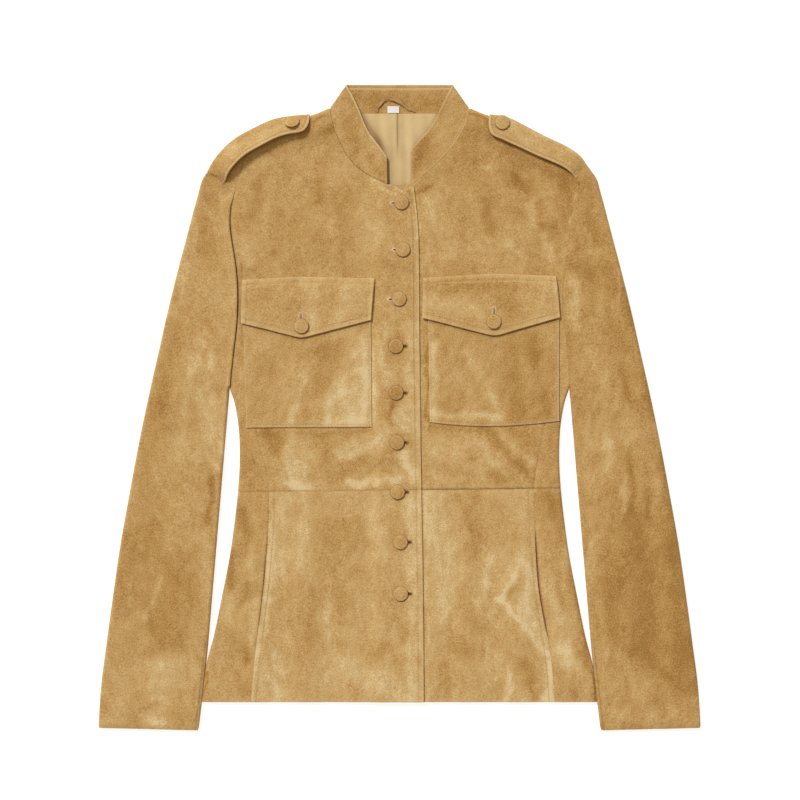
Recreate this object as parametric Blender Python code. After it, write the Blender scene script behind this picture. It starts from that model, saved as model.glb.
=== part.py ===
"""Women's suede jacket with a stand collar, lying flat on its back with its buttons fastened.

The front faces +Z and the collar points to +Y. The wearer's right side is at -X.
Two layers of cloth, the fronts over the back, meet in rolled edges at the shoulders, sides
and sleeves. Every panel is a wall between an outer and an inner sheet of points. Tables
and sizes are in millimetres, and each table gives X as the distance from the middle.
"""

import math

import bmesh
import bpy
import numpy as np
from mathutils import Vector

MM = 0.001
RIGHT, LEFT = -1, 1
TOP, BACK = 1, -1

# Cloth
WALL = 1.6
SEAM_GAP = 0.3
EDGE_INSET = 0.004
LAYER_SPLIT = 0.2
ROLL = 3.4
ROLL_STEP = 0.9
MIDDLE = ROLL + LAYER_SPLIT / 2
LEAST_HEIGHT = 0.02

# Overall places along Y
HEM_Y = -318.6
CUFF_OUTER = (325.8, -346.5)
CUFF_INNER = (217.4, -349.2)
FRONT_TOP_Y = 238.3
WAIST_Y = -89.1
WAIST_TILT = 0.012
BACK_NECK_Y = 318.0
COLLAR_TOP_Y = 349.3

# Low forms of the cloth
HEM_DROP, HEM_DROP_LENGTH = 1.0, 26.0
LAP_RAISE, LAP_RAISE_START, LAP_RAISE_END = 2.1, 24.5, 19.0
SLEEVE_HEAD_RAISE, SLEEVE_HEAD_LENGTH = 1.3, 24.0
SLEEVE_HEAD_TOP_Y, SLEEVE_HEAD_FULL_Y = 240.0, 214.0
SLEEVE_HEAD_ABOVE_ARMPIT, SLEEVE_HEAD_BELOW_ARMPIT = 10.0, 50.0
FLUTE_HEIGHT, FLUTE_LENGTH = 0.7, 58.0
FLUTE_TOP_Y, FLUTE_FULL_Y = -101.1, -221.1
FLUTE_INNER_X, FLUTE_OUTER_X, FLUTE_FADE = 42.0, 176.0, 20.0

# Soft ridges in the fronts and top sleeves
#          x0, y0, x1, y1, half width, height
FOLDS = [(-228.0, 190.0, -238.0, 120.0, 13.0, 0.9),
         (-212.0, 120.0, -232.0, 20.0, 14.0, 0.8),
         (-246.0, 40.0, -262.0, -60.0, 12.0, 0.8),
         (-222.0, -60.0, -246.0, -170.0, 15.0, 0.9),
         (-284.0, -120.0, -296.0, -230.0, 13.0, 0.8),
         (-236.0, -210.0, -262.0, -300.0, 15.0, 0.7),
         (232.0, 185.0, 236.0, 110.0, 13.0, 0.9),
         (210.0, 100.0, 238.0, 0.0, 14.0, 0.8),
         (262.0, 10.0, 268.0, -80.0, 12.0, 0.9),
         (224.0, -80.0, 242.0, -190.0, 15.0, 0.8),
         (286.0, -150.0, 300.0, -250.0, 13.0, 0.7),
         (244.0, -240.0, 262.0, -310.0, 14.0, 0.7),
         (-160.0, 208.0, -108.0, 172.0, 12.0, 0.8),
         (-92.0, 220.0, -66.0, 176.0, 13.0, 0.6),
         (160.0, 204.0, 116.0, 174.0, 12.0, 0.8),
         (78.0, 226.0, 100.0, 178.0, 13.0, 0.6),
         (-160.0, -50.0, -104.0, -66.0, 11.0, 0.7),
         (104.0, -56.0, 162.0, -44.0, 11.0, 0.7)]

# Distances from a rolled edge at which grids have points
ROLLED = (0.0, ROLL_STEP, ROLL)
LIFTED = (0.0, ROLL_STEP, ROLL, 20.5)

# Distances from a strap's tip at which its grid has rows
STRAP_TIP_ROWS = (0.0, 2.5, 6.0, 11.5)

# Grid counts
PER_SPAN = 8
ARMHOLE_UPPER_ROWS, SIDE_COLUMNS = 10, 3
BACK_NECK_COLUMNS, BACK_SIDE_ROWS, BACK_ARMHOLE_ROWS = 3, 4, 5
BACK_LOWER_ROWS, BACK_LOWER_COLUMNS = 6, 14
SLEEVE_ROWS, SLEEVE_HEAD_STATION = 9, 11
SLEEVE_TOP_COLUMNS, SLEEVE_UNDER_COLUMNS = 6, 3
COLLAR_COLUMNS = 4
POCKET_COLUMNS, POCKET_ROWS = 8, 6
FLAP_COLUMNS, FLAP_ROWS = 8, 3
STRAP_TURNS = 6
LINING_COLUMNS, LINING_ROWS = 8, 6
LOOP_STEPS = 24

# Collar stations, from the collar's end to the fold beside the neck
#          base x, base y, top x, top y
COLLAR = {RIGHT: [(13.0, 241.0, 13.5, 270.2),
                  (19.0, 243.4, 17.2, 275.6),
                  (24.5, 246.2, 20.6, 280.4),
                  (36.5, 252.8, 26.4, 288.0),
                  (47.0, 260.8, 31.8, 295.4),
                  (57.0, 273.0, 38.4, 309.0),
                  (65.6, 288.8, 44.2, 323.4),
                  (72.0, 305.6, 50.3, 336.6),
                  (75.2, 323.7, 57.5, COLLAR_TOP_Y)],
          LEFT: [(13.0, 242.2, 12.8, 277.4),
                 (19.0, 245.6, 16.0, 282.8),
                 (24.5, 250.0, 19.4, 287.0),
                 (34.2, 258.2, 25.4, 293.8),
                 (44.6, 268.0, 31.8, 301.0),
                 (55.0, 278.6, 37.8, 310.0),
                 (63.6, 290.8, 43.8, 322.4),
                 (70.8, 305.4, 50.0, 335.2),
                 (75.2, 323.7, 57.5, COLLAR_TOP_Y)]}
LAP_STATIONS = 3

# Shoulder line from the neck to the sleeve head
#            x, right y, left y
SHOULDER = [(75.2, 323.7, 323.7),
            (97.0, 315.2, 315.2),
            (115.0, 313.3, 312.4),
            (134.0, 310.3, 303.2),
            (158.0, 299.6, 290.6),
            (176.0, 289.8, 282.4),
            (191.0, 276.6, 273.4),
            (203.0, 261.0, 261.3),
            (207.6, 254.6, 255.1),
            (212.2, 247.8, 248.6),
            (217.6, 231.0, 231.8)]
STRAP_FIRST, STRAP_LAST = 1, {RIGHT: 8, LEFT: 7}
BACK_SPLIT = 6
FRONT_SPLIT = {RIGHT: 4, LEFT: 7}

# Outer edge of the sleeve
#                x, y
SLEEVE_OUTER = [(228.4, 191.2),
                (239.8, 148.0),
                (250.5, 104.8),
                (260.2, 61.6),
                (270.0, 18.4),
                (283.0, -44.3),
                (292.6, -96.1),
                (301.8, -148.0),
                (309.4, -199.8),
                (316.4, -251.6),
                (323.0, -303.5),
                CUFF_OUTER]

ARMPIT = (183.6, 20.6)
SLEEVE_INNER = [ARMPIT,
                (184.7, 7.6),
                (193.4, -96.0),
                (202.2, -200.0),
                (209.0, -278.0),
                CUFF_INNER]

# Side edge of the body, down from the armpit
#             x, y
BODY_SIDE = [ARMPIT,
             (179.2, 7.6),
             (174.4, -18.4),
             (172.8, -48.0),
             (174.6, WAIST_Y),
             (178.2, -122.0),
             (183.5, -160.0),
             (191.2, -200.0),
             (202.0, -251.6),
             (207.6, -277.6),
             (210.3, -300.0),
             (212.2, HEM_Y)]

# Front armhole below the shoulder line
#           y, right x, left x
ARMHOLE = [(235.0, 177.7, 192.8),
           (215.0, 182.8, 187.4),
           (195.0, 183.4, 184.6),
           (172.0, 180.2, 182.2),
           (150.0, 176.8, 179.4),
           (128.0, 175.3, 176.8),
           (105.0, 175.5, 176.9),
           (79.0, 177.3, 179.7),
           (50.0, 180.8, 182.4)]
PRINCESS_END = 7

# Seam between the centre and side fronts
#                 y, right x, left x
PRINCESS_UPPER = [(-62.0, 145.2, 148.4),
                  (-35.0, 152.5, 153.5),
                  (0.0, 160.0, 160.0),
                  (35.0, 165.2, 166.5),
                  (62.0, 169.8, 172.0)]
PRINCESS_WAIST = {RIGHT: 141.4, LEFT: 144.8}
PRINCESS_LOWER = [(-120.0, 141.4, 146.0),
                  (-155.0, 144.1, 148.6),
                  (-190.0, 147.3, 151.2),
                  (-238.0, 152.8, 158.8),
                  (-276.0, 157.0, 164.2),
                  (HEM_Y, 160.8, 167.9)]

# Centre front edges: the right front laps over, the left front runs under it
#              y, right x, left x
FRONT_EDGE = [(FRONT_TOP_Y, -15.8, -15.0),
              (196.0, -20.1, -15.2),
              (144.0, -21.3, -15.5),
              (67.0, -21.8, -15.9),
              (-13.5, -22.7, -16.2),
              (WAIST_Y, -23.8, -16.5),
              (-173.0, -25.2, -16.8),
              (HEM_Y, -26.6, -17.0)]

# Back neck seam from the collar's fold to the centre
#             x, y
BACK_NECK = [(75.2, 323.7),
             (60.0, 319.4),
             (45.0, BACK_NECK_Y),
             (0.0, BACK_NECK_Y)]

# Back armhole below the shoulder line
#                x, y
BACK_ARMHOLE = [(178.0, 225.0),
                (170.0, 170.0),
                (168.5, 110.0),
                (174.0, 55.0),
                ARMPIT]

# Chest pockets: (x, y) from the inner to the outer end of each edge
POCKET_TOP_Y = 124.0
POCKET_TOP = {RIGHT: [(31.0, POCKET_TOP_Y), (169.8, POCKET_TOP_Y)],
              LEFT: [(30.6, POCKET_TOP_Y), (172.4, POCKET_TOP_Y)]}
POCKET_BOTTOM = {RIGHT: [(29.6, -21.2), (60.0, -21.4), (135.0, -21.8), (165.4, -22.2)],
                 LEFT: [(32.6, -16.0), (48.0, -18.0), (142.0, -18.2), (172.4, -14.8)]}

# Flaps: (x, y) at the inner end, the middle and the outer end of each edge
FLAP_TOP = {RIGHT: [(26.5, 139.5), (111.2, 141.2), (169.8, 137.7)],
            LEFT: [(25.4, 139.9), (103.9, 144.6), (169.3, 141.9)]}
FLAP_BOTTOM = {RIGHT: [(29.9, 94.3), (105.7, 74.6), (171.2, 90.9)],
               LEFT: [(24.6, 96.4), (102.5, 76.7), (173.3, 97.1)]}
FLAP_BEND = 13.0
FLAP_STAND_OFF = 0.6
POCKET_WALL, FLAP_WALL = 1.5, 1.8

# Pocket openings in the seams below the waist
SLIT_TOP_Y, SLIT_BOTTOM_Y, SLIT_INSET = -130.0, -250.0, 0.6

# Shoulder straps
STRAP_WALL, STRAP_GAP = 1.6, 0.45
STRAP_RADIUS = ROLL + STRAP_GAP
STRAP_WIDTH = 40.0
STRAP_TIP_DEPTH, STRAP_TIP_LENGTH, STRAP_TIP_POWER = 19.0, 30.0, 2.0
STRAP_ANGLE = {RIGHT: 22.0, LEFT: 9.0}
#                    flat width on the front at the tip and at the sewn end
STRAP_FRONT = {RIGHT: (16.8, 18.6), LEFT: (21.7, 14.2)}
LIFT_FULL, LIFT_END = 19.0, 34.0

# Covered buttons
#                 radius, height
BUTTON_PROFILE = [(6.6, 0.0),
                  (8.1, 1.1),
                  (7.1, 2.6),
                  (3.9, 3.5)]
BUTTON_TOP = 3.8
BUTTON_SIDES = 20
FRONT_BUTTONS = [(2.1, 221.2), (3.5, 170.4), (-0.5, 117.1), (-4.0, 66.2), (-3.7, 15.8),
                 (-2.9, -37.8), (-2.2, -91.2), (0.9, -145.3), (1.2, -201.0)]
POCKET_BUTTONS = {RIGHT: (105.7, 87.5), LEFT: (101.5, 92.3)}
#                       x, run down the strap's slope
STRAP_BUTTONS = {RIGHT: (117.2, 5.4), LEFT: (112.9, 3.8)}

# What shows inside the neck: the lining, a blank label (x0, x1, y0, y1) and a ribbon loop
LINING_WALL, LINING_HALF_WIDTH, LINING_BOTTOM_Y = 1.0, 46.0, 180.0
PLEAT_X, PLEAT_HALF_WIDTH, PLEAT_HEIGHT = -2.0, 7.0, 0.5
LABEL = (-13.0, -0.5, 318.6, 326.0)
LABEL_WALL = 0.6
LOOP_WIDTH, LOOP_WALL, LOOP_RISE = 2.8, 1.0, 1.2
LOOP = [(-24.8, 320.0), (-21.5, 326.5), (-17.9, 331.2), (-12.4, 333.3), (-6.0, 332.2),
        (0.0, 329.8), (6.9, 324.3), (16.5, 319.8)]


# ---------------------------------------------------------------- curves in the plan

def spline(points, per_span=8):
    """Dense smooth line through the points."""
    points = np.array(points, float)
    at = np.concatenate([[0.0], np.cumsum(np.linalg.norm(np.diff(points, axis=0), axis=1))])
    slope = np.gradient(points, at, axis=0)
    line = []
    for i in range(len(points) - 1):
        span = at[i + 1] - at[i]
        t = np.arange(per_span)[:, None] / per_span
        line.append((2 * t**3 - 3 * t**2 + 1) * points[i] + (t**3 - 2 * t**2 + t) * span * slope[i]
                    + (3 * t**2 - 2 * t**3) * points[i + 1] + (t**3 - t**2) * span * slope[i + 1])
    return np.vstack(line + [points[-1:]])


def arc(line):
    """Distance along a line at each of its points."""
    steps = np.linalg.norm(np.diff(np.array(line, float), axis=0), axis=1)
    return np.concatenate([[0.0], np.cumsum(steps)])


def along(line, distances):
    """Points of a line at distances from its start."""
    line = np.array(line, float)
    at = arc(line)
    return np.stack([np.interp(distances, at, line[:, k]) for k in range(2)], axis=1)


def spaced(line, count, start=(0.0,), end=(0.0,)):
    """Points evenly spaced along a line, after and before given distances from its ends."""
    total = arc(line)[-1]
    last = [total - distance for distance in reversed(end)]
    even = np.linspace(start[-1], last[0], count + 1)
    return along(line, np.concatenate([start[:-1], even, last[1:]]))


def matching(line, reference):
    """Points of a line at the same shares of its length as the reference points."""
    shares = arc(reference) / arc(reference)[-1]
    return along(line, shares * arc(line)[-1])


def column(table, side):
    """Points (x, y) of one side from a table with the columns y, right x, left x."""
    return [(row[1] if side == RIGHT else row[2], row[0]) for row in table]


def shoulder(side):
    return [(row[0], row[1] if side == RIGHT else row[2]) for row in SHOULDER]


def waist(x, side):
    """A point of the waist seam at a distance from the middle."""
    return (x, WAIST_Y + WAIST_TILT * x * side)


def mirrored(points, side):
    """From distances from the middle to places in X and Y."""
    return np.array(points, float) * (side, 1)


def edge_lines(side):
    """The folded edges: collar and shoulder to cuff, inner edge of the sleeve, body side."""
    outer = spline(shoulder(side) + SLEEVE_OUTER)
    return [np.vstack([[COLLAR[side][-1][2:]], outer]), spline(SLEEVE_INNER), spline(BODY_SIDE)]


def edge_segments():
    starts, steps = [], []
    for side in (RIGHT, LEFT):
        for line in edge_lines(side):
            line = mirrored(line, side)
            starts.append(line[:-1])
            steps.append(np.diff(line, axis=0))
    return np.vstack(starts), np.vstack(steps)


EDGE_START, EDGE_STEP = edge_segments()
RIDGE = {side: mirrored(shoulder(side)[STRAP_FIRST:STRAP_LAST[side] + 1], side) for side in (RIGHT, LEFT)}


def nearest(points, start, step):
    """Distance from each point to a set of segments, and the direction away from them."""
    offset = points[..., None, :] - start
    share = np.clip((offset * step).sum(-1) / (step * step).sum(-1), 0.0, 1.0)
    away = offset - share[..., None] * step
    distance = np.linalg.norm(away, axis=-1)
    best = distance.argmin(-1)[..., None]
    distance = np.take_along_axis(distance, best, -1)[..., 0]
    away = np.take_along_axis(away, best[..., None], -2)[..., 0, :]
    return distance, away / np.maximum(distance, 1e-9)[..., None]


def line_distance(points, line):
    return nearest(points, line[:-1], np.diff(line, axis=0))[0]


# ---------------------------------------------------------------- heights of the two layers

def smoothstep(t):
    t = np.clip(t, 0.0, 1.0)
    return t * t * (3 - 2 * t)


def roll_height(depth):
    """Quarter circle: 0 on a rolled edge and 1 from the roll's radius inwards."""
    return np.sqrt(1 - np.clip(1 - depth / ROLL, 0.0, 1.0)**2)


def roll_slope(depth):
    return np.clip(1 - depth / ROLL, 0.0, 1.0) / (ROLL * np.maximum(roll_height(depth), LEAST_HEIGHT))


def middle(points):
    """Height of the rolled edges' middle: the strap's lower half lifts the shoulder."""
    near = np.minimum(line_distance(points, RIDGE[RIGHT]), line_distance(points, RIDGE[LEFT]))
    lifted = 1 - smoothstep((near - LIFT_FULL) / (LIFT_END - LIFT_FULL))
    return MIDDLE + (STRAP_RADIUS + STRAP_WALL - MIDDLE) * lifted


def flat_swell(points):
    return np.zeros(points.shape[:-1])


def end_drop(points):
    """The two layers come closer at the hem and at the cuffs."""
    x, y = np.abs(points[..., 0]), points[..., 1]
    along_cuff = (x - CUFF_INNER[0]) / (CUFF_OUTER[0] - CUFF_INNER[0])
    cuff_y = CUFF_INNER[1] + (CUFF_OUTER[1] - CUFF_INNER[1]) * np.clip(along_cuff, 0.0, 1.0)
    end_y = np.where(x > (BODY_SIDE[-1][0] + CUFF_INNER[0]) / 2, cuff_y, HEM_Y)
    return HEM_DROP * (1 - smoothstep((y - end_y) / HEM_DROP_LENGTH))


def flutes(points):
    """Soft waves that grow from the waist seam to the hem and die out at the front edge."""
    x, y = points[..., 0], points[..., 1]
    grown = smoothstep((FLUTE_TOP_Y - y) / (FLUTE_TOP_Y - FLUTE_FULL_Y))
    clear = (smoothstep((np.abs(x) - FLUTE_INNER_X) / FLUTE_FADE)
             * smoothstep((FLUTE_OUTER_X - np.abs(x)) / FLUTE_FADE))
    return FLUTE_HEIGHT * grown * clear * np.sin(2 * math.pi * x / FLUTE_LENGTH)


def folds(points):
    """Soft ridges that fade out to each side of their lines."""
    height = np.zeros(points.shape[:-1])
    for x0, y0, x1, y1, half_width, top in FOLDS:
        line = np.array([(x0, y0), (x1, y1)])
        height += top * np.exp(-(line_distance(points, line) / half_width)**2)
    return height


def front_swell(side):
    """Height of a front over the flat level; the right one is raised where it laps over."""
    def swell(points):
        lap = (points[..., 0] + LAP_RAISE_START) / (LAP_RAISE_START - LAP_RAISE_END)
        raised = LAP_RAISE * smoothstep(lap) if side == RIGHT else 0.0
        return raised + flutes(points) + folds(points) - end_drop(points)
    return swell


def sleeve_swell(side):
    """Height of a top sleeve, raised beside the armhole seam."""
    seam = mirrored(armhole(side), side)

    def swell(points):
        away = line_distance(points, seam)
        y = points[..., 1]
        below_top = smoothstep((SLEEVE_HEAD_TOP_Y - y) / (SLEEVE_HEAD_TOP_Y - SLEEVE_HEAD_FULL_Y))
        faded = ((y - ARMPIT[1] + SLEEVE_HEAD_BELOW_ARMPIT)
                 / (SLEEVE_HEAD_ABOVE_ARMPIT + SLEEVE_HEAD_BELOW_ARMPIT))
        head = SLEEVE_HEAD_RAISE * below_top * smoothstep(faded) * np.exp(-away / SLEEVE_HEAD_LENGTH)
        return head + folds(points) - end_drop(points)
    return swell


def gradient(function, points, step=0.5):
    shifts = np.eye(2) * step
    return np.stack([(function(points + s) - function(points - s)) / (2 * step) for s in shifts], axis=-1)


def surface(points, layer, swell=flat_swell):
    """Outer points and outward directions of the top or back layer over plan points."""
    depth, inward = nearest(points, EDGE_START, EDGE_STEP)
    radius = ROLL + swell(points)
    height = middle(points) + layer * (LAYER_SPLIT / 2 + radius * roll_height(depth))
    steep = (radius * roll_slope(depth))[..., None] * inward
    slope = gradient(middle, points)
    slope += layer * (steep + gradient(swell, points) * roll_height(depth)[..., None])
    normal = layer * np.concatenate([-slope, np.ones(slope.shape[:-1] + (1,))], axis=-1)
    normal /= np.linalg.norm(normal, axis=-1, keepdims=True)
    outer = np.concatenate([points, height[..., None]], axis=-1)
    return outer, normal


# ---------------------------------------------------------------- grids of points

def patch(bottom, top, left, right):
    """Grid (rows up, columns across) inside four lines of points that share their corners."""
    bottom, top, left, right = (np.array(line, float) for line in (bottom, top, left, right))
    u = ((arc(bottom) + arc(top)) / (arc(bottom)[-1] + arc(top)[-1]))[None, :, None]
    v = ((arc(left) + arc(right)) / (arc(left)[-1] + arc(right)[-1]))[:, None, None]
    corners = ((1 - u) * (1 - v) * bottom[0] + u * (1 - v) * bottom[-1]
               + (1 - u) * v * top[0] + u * v * top[-1])
    return (1 - v) * bottom + v * top + (1 - u) * left[:, None] + u * right[:, None] - corners


def inset(grid, bottom=0.0, top=0.0, left=0.0, right=0.0):
    """Draw a grid's borders in, by half a seam's gap or by a hair on a folded edge."""
    grid = grid.copy()
    for edge, inner, amount in ((0, 1, bottom), (-1, -2, top)):
        step = grid[inner] - grid[edge]
        amount = np.reshape(amount, (-1, 1))
        grid[edge] += amount * step / np.linalg.norm(step, axis=-1, keepdims=True)
    for edge, inner, amount in ((0, 1, left), (-1, -2, right)):
        step = grid[:, inner] - grid[:, edge]
        amount = np.reshape(amount, (-1, 1))
        grid[:, edge] += amount * step / np.linalg.norm(step, axis=-1, keepdims=True)
    return grid


SEAM = SEAM_GAP / 2


# ---------------------------------------------------------------- Blender objects

def material(name, color, roughness=0.9, sheen=0.0):
    made = bpy.data.materials.new(name)
    made.use_nodes = True
    shader = made.node_tree.nodes["Principled BSDF"]
    shader.inputs["Base Color"].default_value = (*color, 1.0)
    shader.inputs["Roughness"].default_value = roughness
    shader.inputs["Metallic"].default_value = 0.0
    shader.inputs["Sheen Weight"].default_value = sheen
    return made


def finish(name, bm, surface_material, smooth_degrees=40.0):
    """Turn a closed bmesh in millimetres into an object in metres."""
    bmesh.ops.scale(bm, vec=(MM, MM, MM), verts=bm.verts)
    bmesh.ops.triangulate(bm, faces=bm.faces, quad_method="SHORT_EDGE")
    bmesh.ops.recalc_face_normals(bm, faces=bm.faces)
    mesh = bpy.data.meshes.new(name)
    bm.to_mesh(mesh)
    bm.free()
    mesh.materials.append(surface_material)
    mesh.shade_smooth()
    mesh.set_sharp_from_angle(angle=math.radians(smooth_degrees))
    made = bpy.data.objects.new(name, mesh)
    bpy.context.scene.collection.objects.link(made)
    return made


def wall(name, outer, inner, surface_material):
    """Closed wall between two grids of points of the same shape."""
    rows, columns = outer.shape[:2]
    bm = bmesh.new()
    sheets = [[[bm.verts.new(grid[r, c]) for c in range(columns)] for r in range(rows)]
              for grid in (outer, inner)]
    for sheet in sheets:
        for r in range(rows - 1):
            for c in range(columns - 1):
                bm.faces.new((sheet[r][c], sheet[r][c + 1], sheet[r + 1][c + 1], sheet[r + 1][c]))
    border = [(0, c) for c in range(columns)]
    border += [(r, columns - 1) for r in range(1, rows)]
    border += [(rows - 1, c) for c in range(columns - 2, -1, -1)]
    border += [(r, 0) for r in range(rows - 2, 0, -1)]
    for (r0, c0), (r1, c1) in zip(border, border[1:] + border[:1]):
        bm.faces.new((sheets[0][r0][c0], sheets[0][r1][c1], sheets[1][r1][c1], sheets[1][r0][c0]))
    return finish(name, bm, surface_material)


def panel(name, grid, side, layer, surface_material, swell=flat_swell, lift=0.0, thickness=WALL):
    """Wall over a plan grid; lift moves it off the layer's own surface."""
    outer, normal = surface(mirrored(grid, side), layer, swell)
    raised = np.asarray(lift)[..., None] if np.ndim(lift) else lift
    return wall(name, outer + normal * raised, outer + normal * (raised - thickness), surface_material)


# ---------------------------------------------------------------- seams shared by the panels

def split_at_waist(line, side):
    """Upper and lower part of a line that runs down, with a shared point on the waist seam."""
    above = line[:, 1] - waist(line[:, 0], side)[1]
    shared = waist(np.interp(0.0, -above, line[:, 0]), side)
    upper = line[above > EDGE_INSET]
    lower = line[above < -EDGE_INSET]
    return np.vstack([upper, shared]), np.vstack([shared, lower])


def armhole(side):
    """Seam line from the shoulder to the armpit."""
    return spline([shoulder(side)[FRONT_SPLIT[side]]] + column(ARMHOLE, side) + [ARMPIT], PER_SPAN)


def armhole_upper(side):
    """Seam points from the shoulder to the princess seam."""
    line = armhole(side)[:(PRINCESS_END + 1) * PER_SPAN + 1]
    return spaced(line, ARMHOLE_UPPER_ROWS, start=ROLLED)


def armhole_lower(side):
    """Seam points from the princess seam to the armpit."""
    return spaced(armhole(side)[(PRINCESS_END + 1) * PER_SPAN:], SIDE_COLUMNS, end=ROLLED)


def princess_upper(side):
    """Seam points up from the waist to the armhole."""
    start = waist(PRINCESS_WAIST[side], side)
    return np.vstack([[start], column(PRINCESS_UPPER, side), armhole_upper(side)[-1:]])


def princess_lower(side):
    """Seam points up from the hem to the waist."""
    return np.vstack([column(PRINCESS_LOWER, side)[::-1], [waist(PRINCESS_WAIST[side], side)]])


def front_edge(side):
    """The parts of a front's free edge above and below the waist, both running down."""
    return split_at_waist(spline(column(FRONT_EDGE, side)), side)


def body_side(side):
    """The parts of the body's side edge above and below the waist, both running down."""
    return split_at_waist(spline(BODY_SIDE), side)


def closer_at_fold(stations):
    """The stations with points close together before the last one."""
    line = spline(stations)
    last = arc(line)[-1] - np.array(ROLLED[::-1])
    return np.vstack([stations[:-1], along(line, last)])


def neck_seam(side):
    """Front neck seam from the collar's end to the fold, close together at the fold."""
    return closer_at_fold([row[:2] for row in COLLAR[side]])


def collar_top(side):
    """Top edge of the collar's front, at the same stations as the neck seam."""
    return closer_at_fold([row[2:] for row in COLLAR[side]])


def back_neck():
    """Back neck seam from the fold to the centre."""
    return spaced(spline(BACK_NECK), BACK_NECK_COLUMNS, start=ROLLED)


def front_columns(side, edge_x, end_x):
    """Places across a centre front, the same near the front edge at every height."""
    fixed = [edge_x, 0.0] + [row[0] for row in COLLAR[side][:LAP_STATIONS]]
    count = 2 + len(neck_seam(side)) + FRONT_SPLIT[side]
    return np.concatenate([fixed[:-1], np.linspace(fixed[-1], end_x, count - len(fixed) + 1)])


def waist_centre(side):
    edge = front_edge(side)[0][-1]
    x = front_columns(side, edge[0], PRINCESS_WAIST[side])
    return np.vstack([[edge], [waist(each, side) for each in x[1:]]])


def waist_side(side):
    return spaced([waist(PRINCESS_WAIST[side], side), body_side(side)[0][-1]], SIDE_COLUMNS, end=ROLLED)


# ---------------------------------------------------------------- panels of the fronts

def front_upper(side, name, suede):
    edge = front_edge(side)[0][::-1]
    right = np.vstack([princess_upper(side), armhole_upper(side)[::-1][1:]])
    shoulders = shoulder(side)[1:FRONT_SPLIT[side] + 1]
    neck = neck_seam(side)
    middle_top = (0.0, (FRONT_TOP_Y + neck[0][1]) / 2)
    top = np.vstack([edge[-1:], [middle_top], neck, shoulders])
    grid = patch(waist_centre(side), top, matching(edge, right), right)
    top_inset = [0.0, 0.0] + [SEAM] * len(neck) + [EDGE_INSET] * len(shoulders)
    grid = inset(grid, bottom=SEAM, top=top_inset, right=SEAM)
    return panel(name, grid, side, TOP, suede, front_swell(side))


def front_side_upper(side, name, suede):
    left = princess_upper(side)
    right = spaced(body_side(side)[0][::-1], len(left) - 1)
    grid = patch(waist_side(side), armhole_lower(side), left, right)
    grid = inset(grid, bottom=SEAM, top=SEAM, left=SEAM, right=EDGE_INSET)
    return panel(name, grid, side, TOP, suede, front_swell(side))


def front_lower(side, name, suede):
    right = princess_lower(side)
    edge = front_edge(side)[1][::-1]
    x = front_columns(side, edge[0][0], right[0][0])
    hem = np.stack([x, np.full_like(x, HEM_Y)], axis=1)
    grid = patch(hem, waist_centre(side), matching(edge, right), right)
    open_rows = (right[:, 1] < SLIT_TOP_Y) & (right[:, 1] > SLIT_BOTTOM_Y)
    grid = inset(grid, top=SEAM, right=np.where(open_rows, SLIT_INSET, SEAM))
    return panel(name, grid, side, TOP, suede, front_swell(side))


def front_side_lower(side, name, suede):
    left = princess_lower(side)
    right = spaced(body_side(side)[1][::-1], len(left) - 1)
    hem = spaced([left[0], right[0]], SIDE_COLUMNS, end=ROLLED)
    grid = inset(patch(hem, waist_side(side), left, right), top=SEAM, left=SEAM, right=EDGE_INSET)
    return panel(name, grid, side, TOP, suede, front_swell(side))


# ---------------------------------------------------------------- back

def whole(half):
    """A line across the middle from its half on the positive side, running outwards."""
    half = np.array(half, float)
    return np.vstack([half[::-1] * (-1, 1), half[1:]])


def back_upper(name, suede):
    sides, armholes, shoulders = {}, {}, {}
    for side in (RIGHT, LEFT):
        edge = spaced(body_side(side)[0][::-1], BACK_SIDE_ROWS)
        line = spline([shoulder(side)[BACK_SPLIT]] + BACK_ARMHOLE)
        armholes[side] = spaced(line, BACK_ARMHOLE_ROWS, start=LIFTED)[::-1]
        sides[side] = mirrored(np.vstack([edge, armholes[side][1:]]), side)
        stations = shoulder(side)[:BACK_SPLIT + 1]
        last = along(stations[::-1], [ROLL, ROLL_STEP, 0.0])
        shoulders[side] = mirrored(np.vstack([stations[1:-1], last]), side)
    neck = whole(back_neck()[::-1])
    top = np.vstack([shoulders[RIGHT][::-1], neck, shoulders[LEFT]])
    count = len(top) - 1 - 2 * (len(ROLLED) - 1)
    bottom = spaced([sides[RIGHT][0], sides[LEFT][0]], count, start=ROLLED, end=ROLLED)
    grid = patch(bottom, top, sides[RIGHT], sides[LEFT])
    rolled = [EDGE_INSET] * (BACK_SIDE_ROWS) + [SEAM] * (len(sides[LEFT]) - BACK_SIDE_ROWS)
    outside = [EDGE_INSET] * len(shoulders[LEFT])
    grid = inset(grid, bottom=SEAM, top=outside + [SEAM] * len(neck) + outside, left=rolled, right=rolled)
    return panel(name, grid, LEFT, BACK, suede)


def back_lower(name, suede):
    sides = [mirrored(spaced(body_side(side)[1][::-1], BACK_LOWER_ROWS), side) for side in (RIGHT, LEFT)]
    bottom = spaced([sides[0][0], sides[1][0]], BACK_LOWER_COLUMNS, start=ROLLED, end=ROLLED)
    top = spaced([sides[0][-1], sides[1][-1]], BACK_LOWER_COLUMNS, start=ROLLED, end=ROLLED)
    grid = patch(bottom, top, *sides)
    grid = inset(grid, top=SEAM, left=EDGE_INSET, right=EDGE_INSET)
    return panel(name, grid, LEFT, BACK, suede)


# ---------------------------------------------------------------- sleeves

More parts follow.
